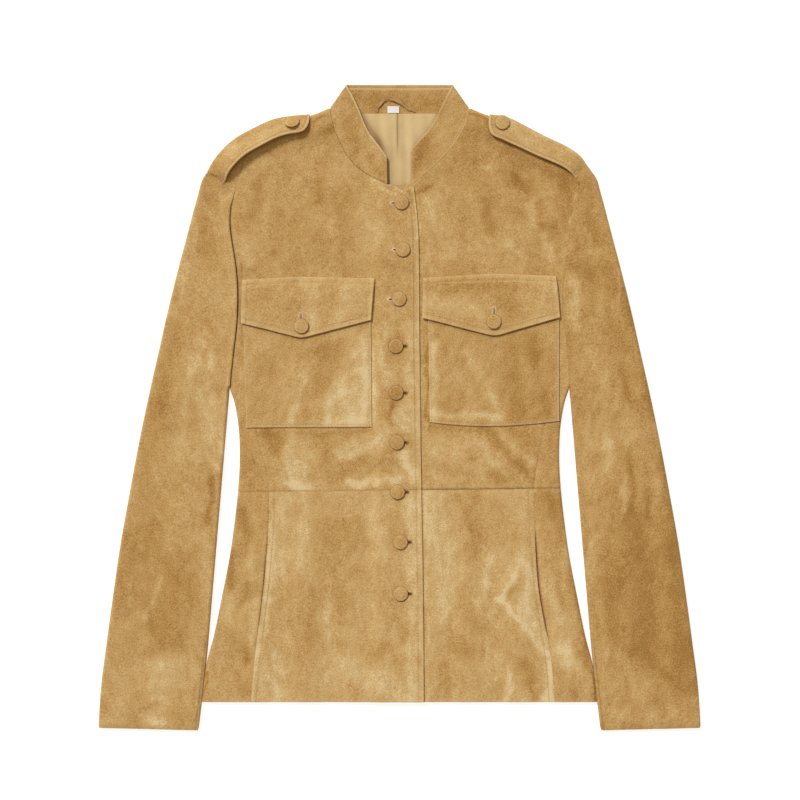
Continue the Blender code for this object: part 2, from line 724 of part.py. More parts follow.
def sleeve_grid(side, split, seam, columns):
    """Plan grid of a sleeve layer between its armhole seam and inner edge and its outer edge."""
    inner_edge = spaced(spline(SLEEVE_INNER), SLEEVE_ROWS)[::-1]
    inner = np.vstack([inner_edge, seam[::-1][1:-1]])
    line = spline(shoulder(side)[split:] + SLEEVE_OUTER, PER_SPAN)
    at = arc(line)
    heads = list(at[PER_SPAN:(SLEEVE_HEAD_STATION - split) * PER_SPAN + 1:PER_SPAN])
    rest = np.linspace(heads[-1], at[-1], len(inner) - 2 - len(heads) + 1)[1:]
    outer = along(line, np.concatenate([[ROLL_STEP, ROLL], heads, rest]))[::-1]
    cuff = spaced([inner[0], outer[0]], columns, start=ROLLED, end=ROLLED)
    head = spaced([inner[-1], outer[-1]], len(cuff) - 1)
    borders = [EDGE_INSET] * (SLEEVE_ROWS) + [SEAM] * (len(inner) - SLEEVE_ROWS)
    return inset(patch(cuff, head, inner, outer), top=SEAM, left=borders, right=EDGE_INSET)


def sleeve_top(side, name, suede):
    seam = np.vstack([armhole_upper(side), armhole_lower(side)[1:]])
    grid = sleeve_grid(side, FRONT_SPLIT[side], seam, SLEEVE_TOP_COLUMNS)
    return panel(name, grid, side, TOP, suede, sleeve_swell(side))


def sleeve_under(side, name, suede):
    line = spline([shoulder(side)[BACK_SPLIT]] + BACK_ARMHOLE)
    seam = spaced(line, BACK_ARMHOLE_ROWS, start=LIFTED)
    grid = sleeve_grid(side, BACK_SPLIT, seam, SLEEVE_UNDER_COLUMNS)
    return panel(name, grid, side, BACK, suede)


# ---------------------------------------------------------------- collar

def collar_sections(side):
    """Stations round the neck: base and top in the plan, and the layer (0 at a fold)."""
    front_base, front_top = neck_seam(side), collar_top(side)
    back_base = back_neck()[1:]
    corner = np.array(COLLAR[side][-1][2:])
    back_top = matching([corner, (0.0, COLLAR_TOP_Y)], back_neck())[1:]
    sections = []
    for base, top in zip(front_base[:-1], front_top[:-1]):
        sections.append((base, top, TOP))
    sections.append((front_base[-1], front_top[-1], 0))
    for base, top in zip(back_base, back_top):
        sections.append((base, top, BACK))
    return sections


def collar_rows(side):
    """Outer points and directions of one half of the collar, from its end to the centre back."""
    outer_rows, normal_rows = [], []
    share = np.linspace(0.0, 1.0, COLLAR_COLUMNS + 1)[:, None]
    for base, top, layer in collar_sections(side):
        base = base + SEAM * (top - base) / np.linalg.norm(top - base)
        plan = mirrored(base + share * (top - base), side)
        if layer == 0:
            along_fold = mirrored(top - base, side)
            outward = np.array([along_fold[1], -along_fold[0]]) * side / np.linalg.norm(along_fold)
            outer = np.concatenate([plan, middle(plan)[:, None]], axis=1)
            normal = np.tile([*outward, 0.0], (len(plan), 1))
        else:
            swell = front_swell(side) if layer == TOP else flat_swell
            outer, normal = surface(plan, layer, swell)
        outer_rows.append(outer)
        normal_rows.append(normal)
    return outer_rows, normal_rows


def collar(name, suede):
    right, right_normal = collar_rows(RIGHT)
    left, left_normal = collar_rows(LEFT)
    outer = np.array(right + left[-2::-1])
    normal = np.array(right_normal + left_normal[-2::-1])
    return wall(name, outer, outer - normal * WALL, suede)


# ---------------------------------------------------------------- pockets, flaps and straps

def pocket(side, name, suede):
    bottom = spaced(spline(POCKET_BOTTOM[side]), POCKET_COLUMNS)
    top = spaced(POCKET_TOP[side], POCKET_COLUMNS)
    left = spaced([bottom[0], top[0]], POCKET_ROWS)
    right = spaced([bottom[-1], top[-1]], POCKET_ROWS)
    grid = patch(bottom, top, left, right)
    return panel(name, grid, side, TOP, suede, front_swell(side), SEAM_GAP + POCKET_WALL, POCKET_WALL)


def flap_lift(below_top, share):
    """Height of a flap's outer face over the front: it bends over the pocket and stands off."""
    over_pocket = (POCKET_WALL + SEAM_GAP) * smoothstep(below_top / FLAP_BEND)
    return SEAM_GAP + FLAP_WALL + over_pocket + FLAP_STAND_OFF * share**2


def flap(side, name, suede):
    top_line, bottom_line = FLAP_TOP[side], FLAP_BOTTOM[side]
    half = FLAP_COLUMNS // 2
    top = np.vstack([spaced(top_line[:2], half), spaced(top_line[1:], half)[1:]])
    bottom = np.vstack([spaced(bottom_line[:2], half), spaced(bottom_line[1:], half)[1:]])
    drop = np.linalg.norm(top - bottom, axis=1)
    rows = [1.0 - FLAP_BEND / drop.mean(), 1.0]
    shares = np.concatenate([np.linspace(0.0, rows[0], FLAP_ROWS), rows[1:]])
    grid = bottom + shares[:, None, None] * (top - bottom)
    below_top = (1 - shares)[:, None] * drop
    lift = flap_lift(below_top, (1 - shares)[:, None] * np.ones_like(drop))
    return panel(name, grid, side, TOP, suede, front_swell(side), lift, FLAP_WALL)


def strap_section(side, station_share):
    """Section of a strap as rows (inward, up, turn): back part, roll, and the front's slope."""
    angle = math.radians(STRAP_ANGLE[side])
    first, last = STRAP_FRONT[side]
    front = first + (last - first) * station_share
    turn = math.pi - angle
    back = STRAP_WIDTH - front - turn * (STRAP_RADIUS + STRAP_WALL / 2)
    section = [(back, -math.pi / 2, 0.0)]
    for step in range(STRAP_TURNS + 1):
        section.append((0.0, -math.pi / 2 + turn * step / STRAP_TURNS, 0.0))
    section += [(0.0, math.pi / 2 - angle, front * part) for part in (0.5, 1.0)]
    return section


def strap_points(side, station_share, radius):
    """Inward distance from the roll's centre, height over it, and place across the strap."""
    points = []
    travelled = 0.0
    last = None
    for back, turn, run in strap_section(side, station_share):
        inward = back - radius * math.cos(turn) + run * math.sin(turn)
        up = radius * math.sin(turn) + run * math.cos(turn)
        if last is not None:
            travelled += math.hypot(inward - last[0], up - last[1])
        last = (inward, up)
        points.append((inward, up, travelled))
    points = np.array(points)
    points[:, 2] = 2 * points[:, 2] / travelled - 1
    return points


def strap_stations(side):
    """Places along the ridge: point, direction inwards, and distance from the tip."""
    ridge = RIDGE[side]
    steps = np.diff(ridge, axis=0)
    normals = np.stack([-steps[:, 1], steps[:, 0]], axis=1) * -side
    normals /= np.linalg.norm(normals, axis=1, keepdims=True)
    at_points = np.vstack([normals[:1], normals[:-1] + normals[1:], normals[-1:]])
    at_points /= np.linalg.norm(at_points, axis=1, keepdims=True)
    at = arc(ridge)
    tip = [(ridge[0] + each / at[1] * steps[0], normals[0], each) for each in STRAP_TIP_ROWS]
    return tip + list(zip(ridge[1:], at_points[1:], at[1:]))


def strap_grid(side, radius):
    stations = strap_stations(side)
    first_step = RIDGE[side][1] - RIDGE[side][0]
    from_tip = first_step / np.linalg.norm(first_step)
    rows = []
    for point, inward, distance in stations:
        section = strap_points(side, distance / stations[-1][2], radius)
        bulge = 1 - (1 - np.abs(section[:, 2])**STRAP_TIP_POWER)**(1 / STRAP_TIP_POWER)
        back_off = STRAP_TIP_DEPTH * bulge * max(1 - distance / STRAP_TIP_LENGTH, 0.0)
        centre = point + back_off[:, None] * from_tip + ROLL * inward
        plan = centre + section[:, :1] * inward
        height = middle(point[None])[0] + section[:, 1]
        rows.append(np.concatenate([plan, height[:, None]], axis=1))
    return np.array(rows)


def strap(side, name, suede):
    return wall(name, strap_grid(side, STRAP_RADIUS + STRAP_WALL), strap_grid(side, STRAP_RADIUS), suede)


# ---------------------------------------------------------------- buttons and small pieces

def button(name, place, direction, suede):
    """Domed disc whose flat underside is centred on a place, facing a direction."""
    bm = bmesh.new()
    rings = []
    for radius, height in BUTTON_PROFILE:
        angles = [2 * math.pi * k / BUTTON_SIDES for k in range(BUTTON_SIDES)]
        rings.append([bm.verts.new((radius * math.cos(a), radius * math.sin(a), height)) for a in angles])
    for low, high in zip(rings, rings[1:]):
        for k in range(BUTTON_SIDES):
            m = (k + 1) % BUTTON_SIDES
            bm.faces.new((low[k], low[m], high[m], high[k]))
    bm.faces.new(rings[0][::-1])
    top = bm.verts.new((0.0, 0.0, BUTTON_TOP))
    for k in range(BUTTON_SIDES):
        bm.faces.new((rings[-1][k], rings[-1][(k + 1) % BUTTON_SIDES], top))
    made = finish(name, bm, suede)
    made.location = Vector(place) * MM
    made.rotation_euler = Vector(direction).to_track_quat("Z", "Y").to_euler()
    return made


def front_button(index, name, suede):
    x, y = FRONT_BUTTONS[index]
    height = surface(np.array([[x, y]]), TOP, front_swell(RIGHT))[0][0, 2]
    return button(name, (x, y, height + SEAM_GAP), (0, 0, 1), suede)


def pocket_button(side, name, suede):
    place = mirrored(POCKET_BUTTONS[side], side)
    outer, normal = surface(place[None], TOP, front_swell(side))
    lift = flap_lift(FLAP_BEND, 1.0) + SEAM_GAP
    return button(name, outer[0] + normal[0] * lift, normal[0], suede)


def strap_button(side, name, suede):
    x, run = STRAP_BUTTONS[side]
    ridge, inwards = RIDGE[side], strap_stations(side)[0][1]
    y = np.interp(x, np.abs(ridge[:, 0]), ridge[:, 1])
    angle = math.radians(STRAP_ANGLE[side])
    radius = STRAP_RADIUS + STRAP_WALL + SEAM_GAP
    inward = ROLL - radius * math.sin(angle) + run * math.cos(angle)
    up = radius * math.cos(angle) + run * math.sin(angle)
    plan = np.array([x * side, y]) + inward * inwards
    height = middle(np.array([[x * side, y]]))[0] + up
    direction = (*(-math.sin(angle) * inwards), math.cos(angle))
    return button(name, (*plan, height), direction, suede)


def over_back(points, lift):
    """Points a height over the inner face of the back layer."""
    outer, normal = surface(points, BACK)
    return outer - normal * (WALL + np.asarray(lift, float)[..., None])


def lining(name, satin):
    x = spaced([(-LINING_HALF_WIDTH, 0.0), (LINING_HALF_WIDTH, 0.0)], LINING_COLUMNS)[:, 0]
    near_pleat = PLEAT_X + PLEAT_HALF_WIDTH * np.linspace(-1.0, 1.0, 5)
    clear = np.abs(x - PLEAT_X) > PLEAT_HALF_WIDTH * 1.4
    x = np.sort(np.concatenate([x[clear], near_pleat]))
    top_y = BACK_NECK_Y - SEAM
    y = np.linspace(LINING_BOTTOM_Y, top_y, LINING_ROWS + 1)
    grid = np.stack(np.meshgrid(x, y), axis=-1)
    pleat = PLEAT_HEIGHT * smoothstep(1 - np.abs(grid[..., 0] - PLEAT_X) / PLEAT_HALF_WIDTH)
    low = np.full(grid.shape[:-1], SEAM_GAP)
    return wall(name, over_back(grid, low + LINING_WALL + pleat), over_back(grid, low), satin)


def label(name, white):
    x0, x1, y0, y1 = LABEL
    grid = np.array([[(x0, y0), (x1, y0)], [(x0, y1), (x1, y1)]], float)
    low = np.full((2, 2), SEAM_GAP)
    return wall(name, over_back(grid, low + LABEL_WALL), over_back(grid, low), white)


def hanger_loop(name, ribbon):
    path = spaced(spline(LOOP), LOOP_STEPS)
    run = np.gradient(path, axis=0)
    across = np.stack([-run[:, 1], run[:, 0]], axis=1) / np.linalg.norm(run, axis=1, keepdims=True)
    grid = np.stack([path - across * LOOP_WIDTH / 2, path + across * LOOP_WIDTH / 2], axis=1)
    rise = SEAM_GAP + LOOP_RISE * np.sin(math.pi * np.linspace(0.0, 1.0, len(path)))[:, None] * np.ones(2)
    return wall(name, over_back(grid, rise + LOOP_WALL), over_back(grid, rise), ribbon)


# ---------------------------------------------------------------- the jacket

def build():
    for each in list(bpy.data.objects):
        bpy.data.objects.remove(each, do_unlink=True)
    suede = material("suede", (0.51, 0.31, 0.118), 0.92, 0.4)
    satin = material("lining", (0.60, 0.42, 0.20), 0.45)
    ribbon = material("ribbon", (0.33, 0.19, 0.12), 0.6)
    white = material("label", (0.9, 0.89, 0.86), 0.7)
    for side, word in ((RIGHT, "right"), (LEFT, "left")):
        front_upper(side, f"front_{word}_upper", suede)
        front_side_upper(side, f"front_{word}_side_upper", suede)
        front_lower(side, f"front_{word}_lower", suede)
        front_side_lower(side, f"front_{word}_side_lower", suede)
        sleeve_top(side, f"sleeve_{word}_top", suede)
        sleeve_under(side, f"sleeve_{word}_under", suede)
        pocket(side, f"pocket_{word}", suede)
        flap(side, f"flap_{word}", suede)
        strap(side, f"strap_{word}", suede)
        pocket_button(side, f"button_pocket_{word}", suede)
        strap_button(side, f"button_strap_{word}", suede)
    for index in range(len(FRONT_BUTTONS)):
        front_button(index, f"button_front_{index + 1}", suede)
    back_upper("back_upper", suede)
    back_lower("back_lower", suede)
    collar("collar", suede)
    lining("lining_back", satin)
    hanger_loop("hanger_loop", ribbon)
    label("label", white)


build()
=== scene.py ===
"""Looks of the suede jacket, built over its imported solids.

Every panel is a fine closed shell on the form of its solid, with rounded seams, folds,
topstitching and brushed nap. Tables and sizes are in millimetres. The wearer's right is -X.
"""

import math

import bpy
import numpy as np
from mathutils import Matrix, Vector


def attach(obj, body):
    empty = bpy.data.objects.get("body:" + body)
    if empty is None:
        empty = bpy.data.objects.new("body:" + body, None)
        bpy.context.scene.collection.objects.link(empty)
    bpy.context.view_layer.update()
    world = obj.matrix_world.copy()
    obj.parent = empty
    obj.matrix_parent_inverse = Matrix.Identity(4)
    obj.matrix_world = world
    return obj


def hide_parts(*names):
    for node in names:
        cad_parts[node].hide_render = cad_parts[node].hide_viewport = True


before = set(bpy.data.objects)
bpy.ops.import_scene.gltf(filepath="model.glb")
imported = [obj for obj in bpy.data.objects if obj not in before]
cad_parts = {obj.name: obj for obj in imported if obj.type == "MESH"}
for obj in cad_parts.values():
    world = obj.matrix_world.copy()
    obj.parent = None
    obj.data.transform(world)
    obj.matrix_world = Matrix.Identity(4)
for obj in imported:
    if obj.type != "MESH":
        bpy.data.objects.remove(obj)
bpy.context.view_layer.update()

MM = 0.001
RIGHT, LEFT = -1, 1
TOP, FOLD, BACK = 1, 0, -1
WORD = {RIGHT: "right", LEFT: "left"}

# Cloth
WALL = 1.6
SEAM_GAP = 0.3
SEAM, CLOSED = SEAM_GAP / 2, -0.1
EDGE_INSET = 0.004
LAYER_SPLIT = 0.02
ROLL = 3.4
MIDDLE = ROLL + 0.1
LEAST_HEIGHT = 0.02

# Places that more than one table has
HEM_Y = -318.6
CUFF_OUTER, CUFF_INNER = (325.8, -346.5), (217.4, -349.2)
ARMPIT = (183.6, 20.6)
FRONT_TOP_Y = 238.3
WAIST_Y, WAIST_TILT = -89.1, 0.012
BACK_NECK_Y = 318.0
COLLAR_TOP_Y = 349.3

# Low forms of the cloth
HEM_DROP, HEM_DROP_LENGTH = 1.0, 26.0
LAP_RAISE, LAP_RAISE_START, LAP_RAISE_END = 2.1, 34.0, 19.0
HEAD_RAISE, SLEEVE_HEAD_LENGTH = {RIGHT: 2.3, LEFT: 1.1}, 24.0
SLEEVE_HEAD_TOP_Y, SLEEVE_HEAD_FULL_Y = 240.0, 214.0
SLEEVE_HEAD_ABOVE_ARMPIT, SLEEVE_HEAD_BELOW_ARMPIT = 10.0, 50.0
FLUTE_HEIGHT, FLUTE_LENGTH = 0.7, 58.0
FLUTE_TOP_Y, FLUTE_FULL_Y = -101.1, -221.1
FLUTE_INNER_X, FLUTE_OUTER_X, FLUTE_FADE = 42.0, 176.0, 20.0
STROKE_REACH = 2.6
WAVE_BEND, WAVE_ACROSS, WARP_APART = 0.35, 0.41, 37.0

# Soft ridges in the fronts and top sleeves: x0, y0, x1, y1, half width, height
FOLDS = [(-228.0, 190.0, -238.0, 120.0, 13.0, 0.9), (-212.0, 120.0, -232.0, 20.0, 14.0, 0.8),
         (-246.0, 40.0, -262.0, -60.0, 12.0, 0.8), (-222.0, -60.0, -246.0, -170.0, 15.0, 0.9),
         (-284.0, -120.0, -296.0, -230.0, 13.0, 0.8), (-236.0, -210.0, -262.0, -300.0, 15.0, 0.7),
         (232.0, 185.0, 236.0, 110.0, 13.0, 0.9), (210.0, 100.0, 238.0, 0.0, 14.0, 0.8),
         (262.0, 10.0, 268.0, -80.0, 12.0, 0.9), (224.0, -80.0, 242.0, -190.0, 15.0, 0.8),
         (286.0, -150.0, 300.0, -250.0, 13.0, 0.7), (244.0, -240.0, 262.0, -310.0, 14.0, 0.7),
         (-160.0, 208.0, -108.0, 172.0, 12.0, 0.8), (-92.0, 220.0, -66.0, 176.0, 13.0, 0.6),
         (160.0, 204.0, 116.0, 174.0, 12.0, 0.8), (78.0, 226.0, 100.0, 178.0, 13.0, 0.6),
         (-160.0, -50.0, -104.0, -66.0, 11.0, 0.7), (104.0, -56.0, 162.0, -44.0, 11.0, 0.7)]

# Collar stations from the collar's end to the fold beside the neck: base x, base y, top x, top y
COLLAR = {RIGHT: [(13.0, 241.0, 13.5, 270.2), (19.0, 243.4, 17.2, 275.6), (24.5, 246.2, 20.6, 280.4),
                  (36.5, 252.8, 26.4, 288.0), (47.0, 260.8, 31.8, 295.4), (57.0, 273.0, 38.4, 309.0),
                  (65.6, 288.8, 44.2, 323.4), (72.0, 305.6, 50.3, 336.6),
                  (75.2, 323.7, 57.5, COLLAR_TOP_Y)],
          LEFT: [(13.0, 242.2, 12.8, 277.4), (19.0, 245.6, 16.0, 282.8), (24.5, 250.0, 19.4, 287.0),
                 (34.2, 258.2, 25.4, 293.8), (44.6, 268.0, 31.8, 301.0), (55.0, 278.6, 37.8, 310.0),
                 (63.6, 290.8, 43.8, 322.4), (70.8, 305.4, 50.0, 335.2), (75.2, 323.7, 57.5, COLLAR_TOP_Y)]}

# Shoulder line from the neck to the sleeve head: x, right y, left y
SHOULDER = [(75.2, 323.7, 323.7), (97.0, 315.2, 315.2), (115.0, 313.3, 312.4), (134.0, 310.3, 303.2),
            (158.0, 299.6, 290.6), (176.0, 289.8, 282.4), (191.0, 276.6, 273.4), (203.0, 261.0, 261.3),
            (207.6, 254.6, 255.1), (212.2, 247.8, 248.6), (217.6, 231.0, 231.8)]
STRAP_FIRST, STRAP_LAST = 1, {RIGHT: 8, LEFT: 7}
BACK_SPLIT, FRONT_SPLIT = 6, {RIGHT: 4, LEFT: 7}

# Outer and inner edge of the sleeve: x, y
SLEEVE_OUTER = [(228.4, 191.2), (239.8, 148.0), (250.5, 104.8), (260.2, 61.6), (270.0, 18.4),
                (283.0, -44.3), (292.6, -96.1), (301.8, -148.0), (309.4, -199.8), (316.4, -251.6),
                (323.0, -303.5), CUFF_OUTER]
SLEEVE_INNER = [ARMPIT, (184.7, 7.6), (193.4, -96.0), (202.2, -200.0), (209.0, -278.0), CUFF_INNER]

# Side edge of the body, down from the armpit: x, y
BODY_SIDE = [ARMPIT, (179.2, 7.6), (174.4, -18.4), (172.8, -48.0), (174.6, WAIST_Y), (178.2, -122.0),
             (183.5, -160.0), (191.2, -200.0), (202.0, -251.6), (208.8, -277.6), (211.75, -300.0),
             (214.0, HEM_Y)]

# Front armhole below the shoulder line: y, right x, left x
ARMHOLE = [(235.0, 177.7, 192.8), (215.0, 182.8, 187.4), (195.0, 183.4, 184.6), (172.0, 180.2, 182.2),
           (150.0, 176.8, 179.4), (128.0, 175.3, 176.8), (105.0, 175.5, 176.9), (79.0, 177.3, 179.7),
           (50.0, 180.8, 182.4)]
PRINCESS_END = 7

# Seam between the centre and side fronts: y, right x, left x
PRINCESS_UPPER = [(-62.0, 145.2, 148.4), (-35.0, 152.5, 153.5), (0.0, 160.0, 160.0), (35.0, 165.2, 166.5),
                  (62.0, 169.8, 172.0)]
PRINCESS_WAIST = {RIGHT: 141.4, LEFT: 144.8}
PRINCESS_LOWER = [(-120.0, 141.4, 146.0), (-155.0, 144.1, 148.6), (-190.0, 147.3, 151.2),
                  (-238.0, 152.8, 158.8), (-276.0, 157.0, 164.2), (HEM_Y, 160.8, 167.9)]

# Centre front edges, the left one under the right one: y, right x, left x
FRONT_EDGE = [(FRONT_TOP_Y, -15.8, -15.0), (196.0, -20.1, -15.2), (144.0, -21.3, -15.5),
              (67.0, -21.8, -15.9), (-13.5, -22.7, -16.2), (WAIST_Y, -23.8, -16.5), (-173.0, -25.2, -16.8),
              (HEM_Y, -26.6, -17.0)]

# Back neck seam from the collar's fold to the centre, and back armhole: x, y
BACK_NECK = [(75.2, 323.7), (60.0, 319.4), (45.0, BACK_NECK_Y), (0.0, BACK_NECK_Y)]
BACK_ARMHOLE = [(178.0, 225.0), (170.0, 170.0), (168.5, 110.0), (174.0, 55.0), ARMPIT]

# Chest pockets: (x, y) from the inner to the outer end of each edge
POCKET_TOP_Y = 124.0
POCKET_TOP = {RIGHT: [(31.0, POCKET_TOP_Y), (169.8, POCKET_TOP_Y)],
              LEFT: [(30.6, POCKET_TOP_Y), (172.4, POCKET_TOP_Y)]}
POCKET_BOTTOM = {RIGHT: [(29.6, -21.2), (60.0, -21.4), (135.0, -21.8), (165.4, -22.2)],
                 LEFT: [(32.6, -16.0), (48.0, -18.0), (142.0, -18.2), (172.4, -14.8)]}
POCKET_WALL, POCKET_SUNK = 1.5, 0.25

# Flaps: (x, y) at the inner end, the middle and the outer end of each edge
FLAP_TOP = {RIGHT: [(26.5, 139.5), (111.2, 141.2), (169.8, 137.7)],
            LEFT: [(25.4, 139.9), (103.9, 144.6), (169.3, 141.9)]}
FLAP_BOTTOM = {RIGHT: [(29.9, 94.3), (105.7, 74.6), (171.2, 90.9)],
               LEFT: [(24.6, 96.4), (102.5, 76.7), (173.3, 97.1)]}
FLAP_WALL, FLAP_BEND, FLAP_STAND_OFF, FLAP_POINT_SOFT = 1.8, 13.0, 0.6, 7.0

# Pocket openings in the seams below the waist
SLIT_TOP_Y, SLIT_BOTTOM_Y, SLIT_OPENING = -130.0, -250.0, {RIGHT: 0.6, LEFT: 2.0}
SLIT_POWER, SLIT_COLUMNS, SLIT_FADE = 0.7, 4, 0.6
FACING_ACROSS, FACING_TOP, FACING_FOOT = (-5.0, 7.0), 0.25, 0.9
FACING_COLUMNS, FACING_ROWS = 7, 40

# Shoulder straps: their width on the front at shares of their length, tip and sewn end
STRAP_WALL, STRAP_WIDTH, STRAP_RADIUS = 1.6, 40.0, ROLL + 0.45
STRAP_ANGLE = {RIGHT: 22.0, LEFT: 9.0}
STRAP_SHARES = (0.0, 0.1, 0.2, 0.3, 0.45, 0.6, 0.75, 0.85, 1.0)
STRAP_FRONTS = {RIGHT: (16.2, 17.2, 18.2, 19.2, 19.7, 20.2, 20.1, 20.0, 18.8),
                LEFT: (18.8, 21.3, 22.0, 20.6, 19.6, 19.0, 18.2, 17.4, 15.4)}
STRAP_DEPTH, STRAP_TIP_LENGTH, STRAP_TIP_POWER = {RIGHT: 12.5, LEFT: 10.0}, 30.0, 2.0
STRAP_END_LENGTH, STRAP_END_SUNK, STRAP_END_STAND = 13.0, 0.7, {RIGHT: 0.6, LEFT: 0.1}
STRAP_STEP, STRAP_SPANS, STRAP_TURNS, STRAP_TURN_LENGTH = 2.2, 3, 18, {RIGHT: 9.0, LEFT: 17.0}
STRAP_SMOOTH, STRAP_SMOOTH_FROM = 7.0, 12.0
STRAP_SEWN = {RIGHT: 0.8, LEFT: 0.0}
LIFT_FULL, LIFT_END = 19.0, 34.0

# Covered buttons: x, y, and on a strap x and the run down its slope; then radius, height
FRONT_BUTTONS = [(2.1, 221.2), (3.5, 170.4), (-0.5, 117.1), (-4.0, 66.2), (-3.7, 15.8), (-2.9, -37.8),
                 (-2.2, -91.2), (0.9, -145.3), (1.2, -201.0)]
POCKET_BUTTONS = {RIGHT: (105.7, 87.5), LEFT: (101.5, 92.3)}
STRAP_BUTTONS, STRAP_BUTTON_TILT = {RIGHT: (117.2, 5.4), LEFT: (112.9, 3.8)}, {RIGHT: 16.0, LEFT: 0.0}
BUTTON_LATHE = [(6.6, 0.0), (7.7, 0.3), (8.1, 0.8), (8.05, 1.15), (7.6, 1.6), (6.9, 1.85), (5.8, 2.0),
                (4.3, 2.2), (2.6, 2.35), (1.0, 2.4)]
BUTTON_SIDES, BUTTON_SMOOTH = 44, 80.0
BUTTON_FOOT, BUTTON_SHOULDER, BUTTON_RIM, BUTTON_DOME_FROM = 6.6, 6.9, 8.1, 1.0
BUTTON_PLEATS, PLEAT_DEPTH, PLEAT_OVER = 11, 0.1, 1.3
PLAIN_BUTTON_NAP = -0.12
# Buttons four to eight have a darker nap, which is painted shade
BUTTON_NAP_AND_SHADE = {"button_front_4": -0.45, "button_front_5": -0.5, "button_front_6": -0.5,
              "button_front_7": -0.35, "button_front_8": -0.3}

# Buttonholes, placed from their buttons: x and y from the button, degrees, and how much
# shorter the slit is
FRONT_HOLES = [(-2.4, -0.6, 1.0, 4.6), (-1.6, -0.3, -1.0, 3.2), (-2.2, -0.5, 0.0, 3.2),
               (2.4, -0.4, 1.0, 2.4), (2.5, -0.4, 0.5, 2.4), (2.4, -0.2, -1.0, 2.6),
               (2.3, -0.3, 0.0, 2.4), (2.4, -0.4, 1.0, 2.4), (2.5, -0.3, -0.5, 2.6)]
LIGHT_HOLES = 3
HOLE_LENGTH, HOLE_WIDTH, HOLE_STITCH, HOLE_THREAD_RADIUS = 20.0, 3.0, 1.7, 0.3
HOLE_COUNT, HOLE_STITCH_HALF, SLIT_SIDES, SLIT_LIFT = 60, 0.9, 28, 0.06
POCKET_HOLE_WIDTH, POCKET_SLIT_SHORTER, POCKET_SLIT_WIDTH = 4.4, 4.6, 1.1
POCKET_HOLE_SHIFT, POCKET_HOLE_RISE = {RIGHT: -0.4, LEFT: 0.6}, {RIGHT: 9.2, LEFT: 10.6}

# What shows inside the neck: the lining, a blank label (x0, x1, y0, y1) and a ribbon loop
LINING_WALL, LINING_HALF_WIDTH, LINING_BOTTOM_Y = 1.0, 46.0, 180.0
LINING_COLUMNS, LINING_ROWS = 62, 70
PLEAT_EDGE_X, PLEAT_RISE, PLEAT_BACK = -3.2, 5.0, 0.9
TUCK, TUCK_SIZE = (1.6, 308.0), (3.0, 5.0)
# Lines from which painted shade spreads over the lining: the collar's shadow on the wearer's right, a
# dimmer band on the wearer's left
LINING_DARK_EDGE = ((240.0, 270.0, 281.0, 300.0, 318.0), (-13.0, -13.0, -16.0, -30.0, -42.0))
LINING_DIM_EDGE = ((240.0, 277.0, 287.0, 300.0, 318.0), (13.0, 13.0, 20.0, 31.0, 42.0))
LABEL = (-13.0, -0.5, 318.6, 326.0)
LABEL_WALL, LABEL_COLUMNS, LABEL_ROWS = 0.6, 13, 9
LOOP_WIDTH, LOOP_WALL, LOOP_STAND, LOOP_RISE, LOOP_FLAT = 2.8, 1.0, 0.25, 1.2, 0.62
LOOP_TWIST, LOOP_STEPS, LOOP_SIDES = 11.0, 72, 12
LOOP = [(-24.8, 320.0), (-21.5, 326.5), (-17.9, 331.2), (-12.4, 333.3), (-6.0, 332.2), (0.0, 329.8),
        (6.9, 324.3), (16.5, 319.8)]

# Steps of the fine grids, and the distances from their borders at which they have points
STEP, BACK_STEP, POCKET_STEP = 3.0, 5.0, 2.4
PER_SPAN = 8
CHUNK = 3000
NEAR_SEAM = (0.0, 0.3, 0.7, 1.2, 1.9, 2.8, 4.0, 5.4, 6.0, 6.6, 7.8)
NEAR_ROLL = (0.0, 0.12, 0.46, 1.0, 1.7, 2.5, 3.4)
NEAR_EDGE = (0.0, 0.12, 0.3, 0.6, 1.0, 1.6, 2.6, 4.0, 5.4, 6.0, 6.6, 7.8)
NEAR_POCKET = (0.0, 0.12, 0.3, 0.6, 1.0, 1.6, 2.2, 2.8, 3.6, 5.0)
NEAR_PLAIN = (0.0, 0.12, 0.3, 0.6, 1.0, 1.6, 2.6)
NEAR_STRAP = (0.0, 0.12, 0.3, 0.6, 1.0, 1.8, 2.8, 3.6, 4.2, 4.8, 6.0)
NEAR_INSIDE = (0.0, 0.3, 0.8, 1.6, 2.4, 3.2, 4.0, 5.2)
NEAR_HEAD = (0.9, 1.7, 2.5)
NEAR_COLLAR_BASE = (0.0, 0.5, 1.2, 2.2)
NEAR_COLLAR_TOP = (0.0, 0.12, 0.3, 0.6, 1.0, 1.8, 2.6, 3.4, 4.2)
COLLAR_ACROSS, COLLAR_PER_SPAN, COLLAR_BACK_COUNT = 9, 5, 16

# Lines of stitches, at distances from their edges that the grids have
STITCHED_AT, STRAP_STITCHED_AT, POCKET_STITCHED_AT, COLLAR_STITCHED_AT = 6.0, 3.6, 2.2, 3.4
STITCH_PITCH, STITCH_LENGTH, STITCH_RADIUS, STITCH_STAND = 3.1, 2.2, 0.36, 0.06
BEAD, BEAD_SIDES = ((-0.5, 0.25), (-0.36, 0.85), (0.36, 0.85), (0.5, 0.25)), 6

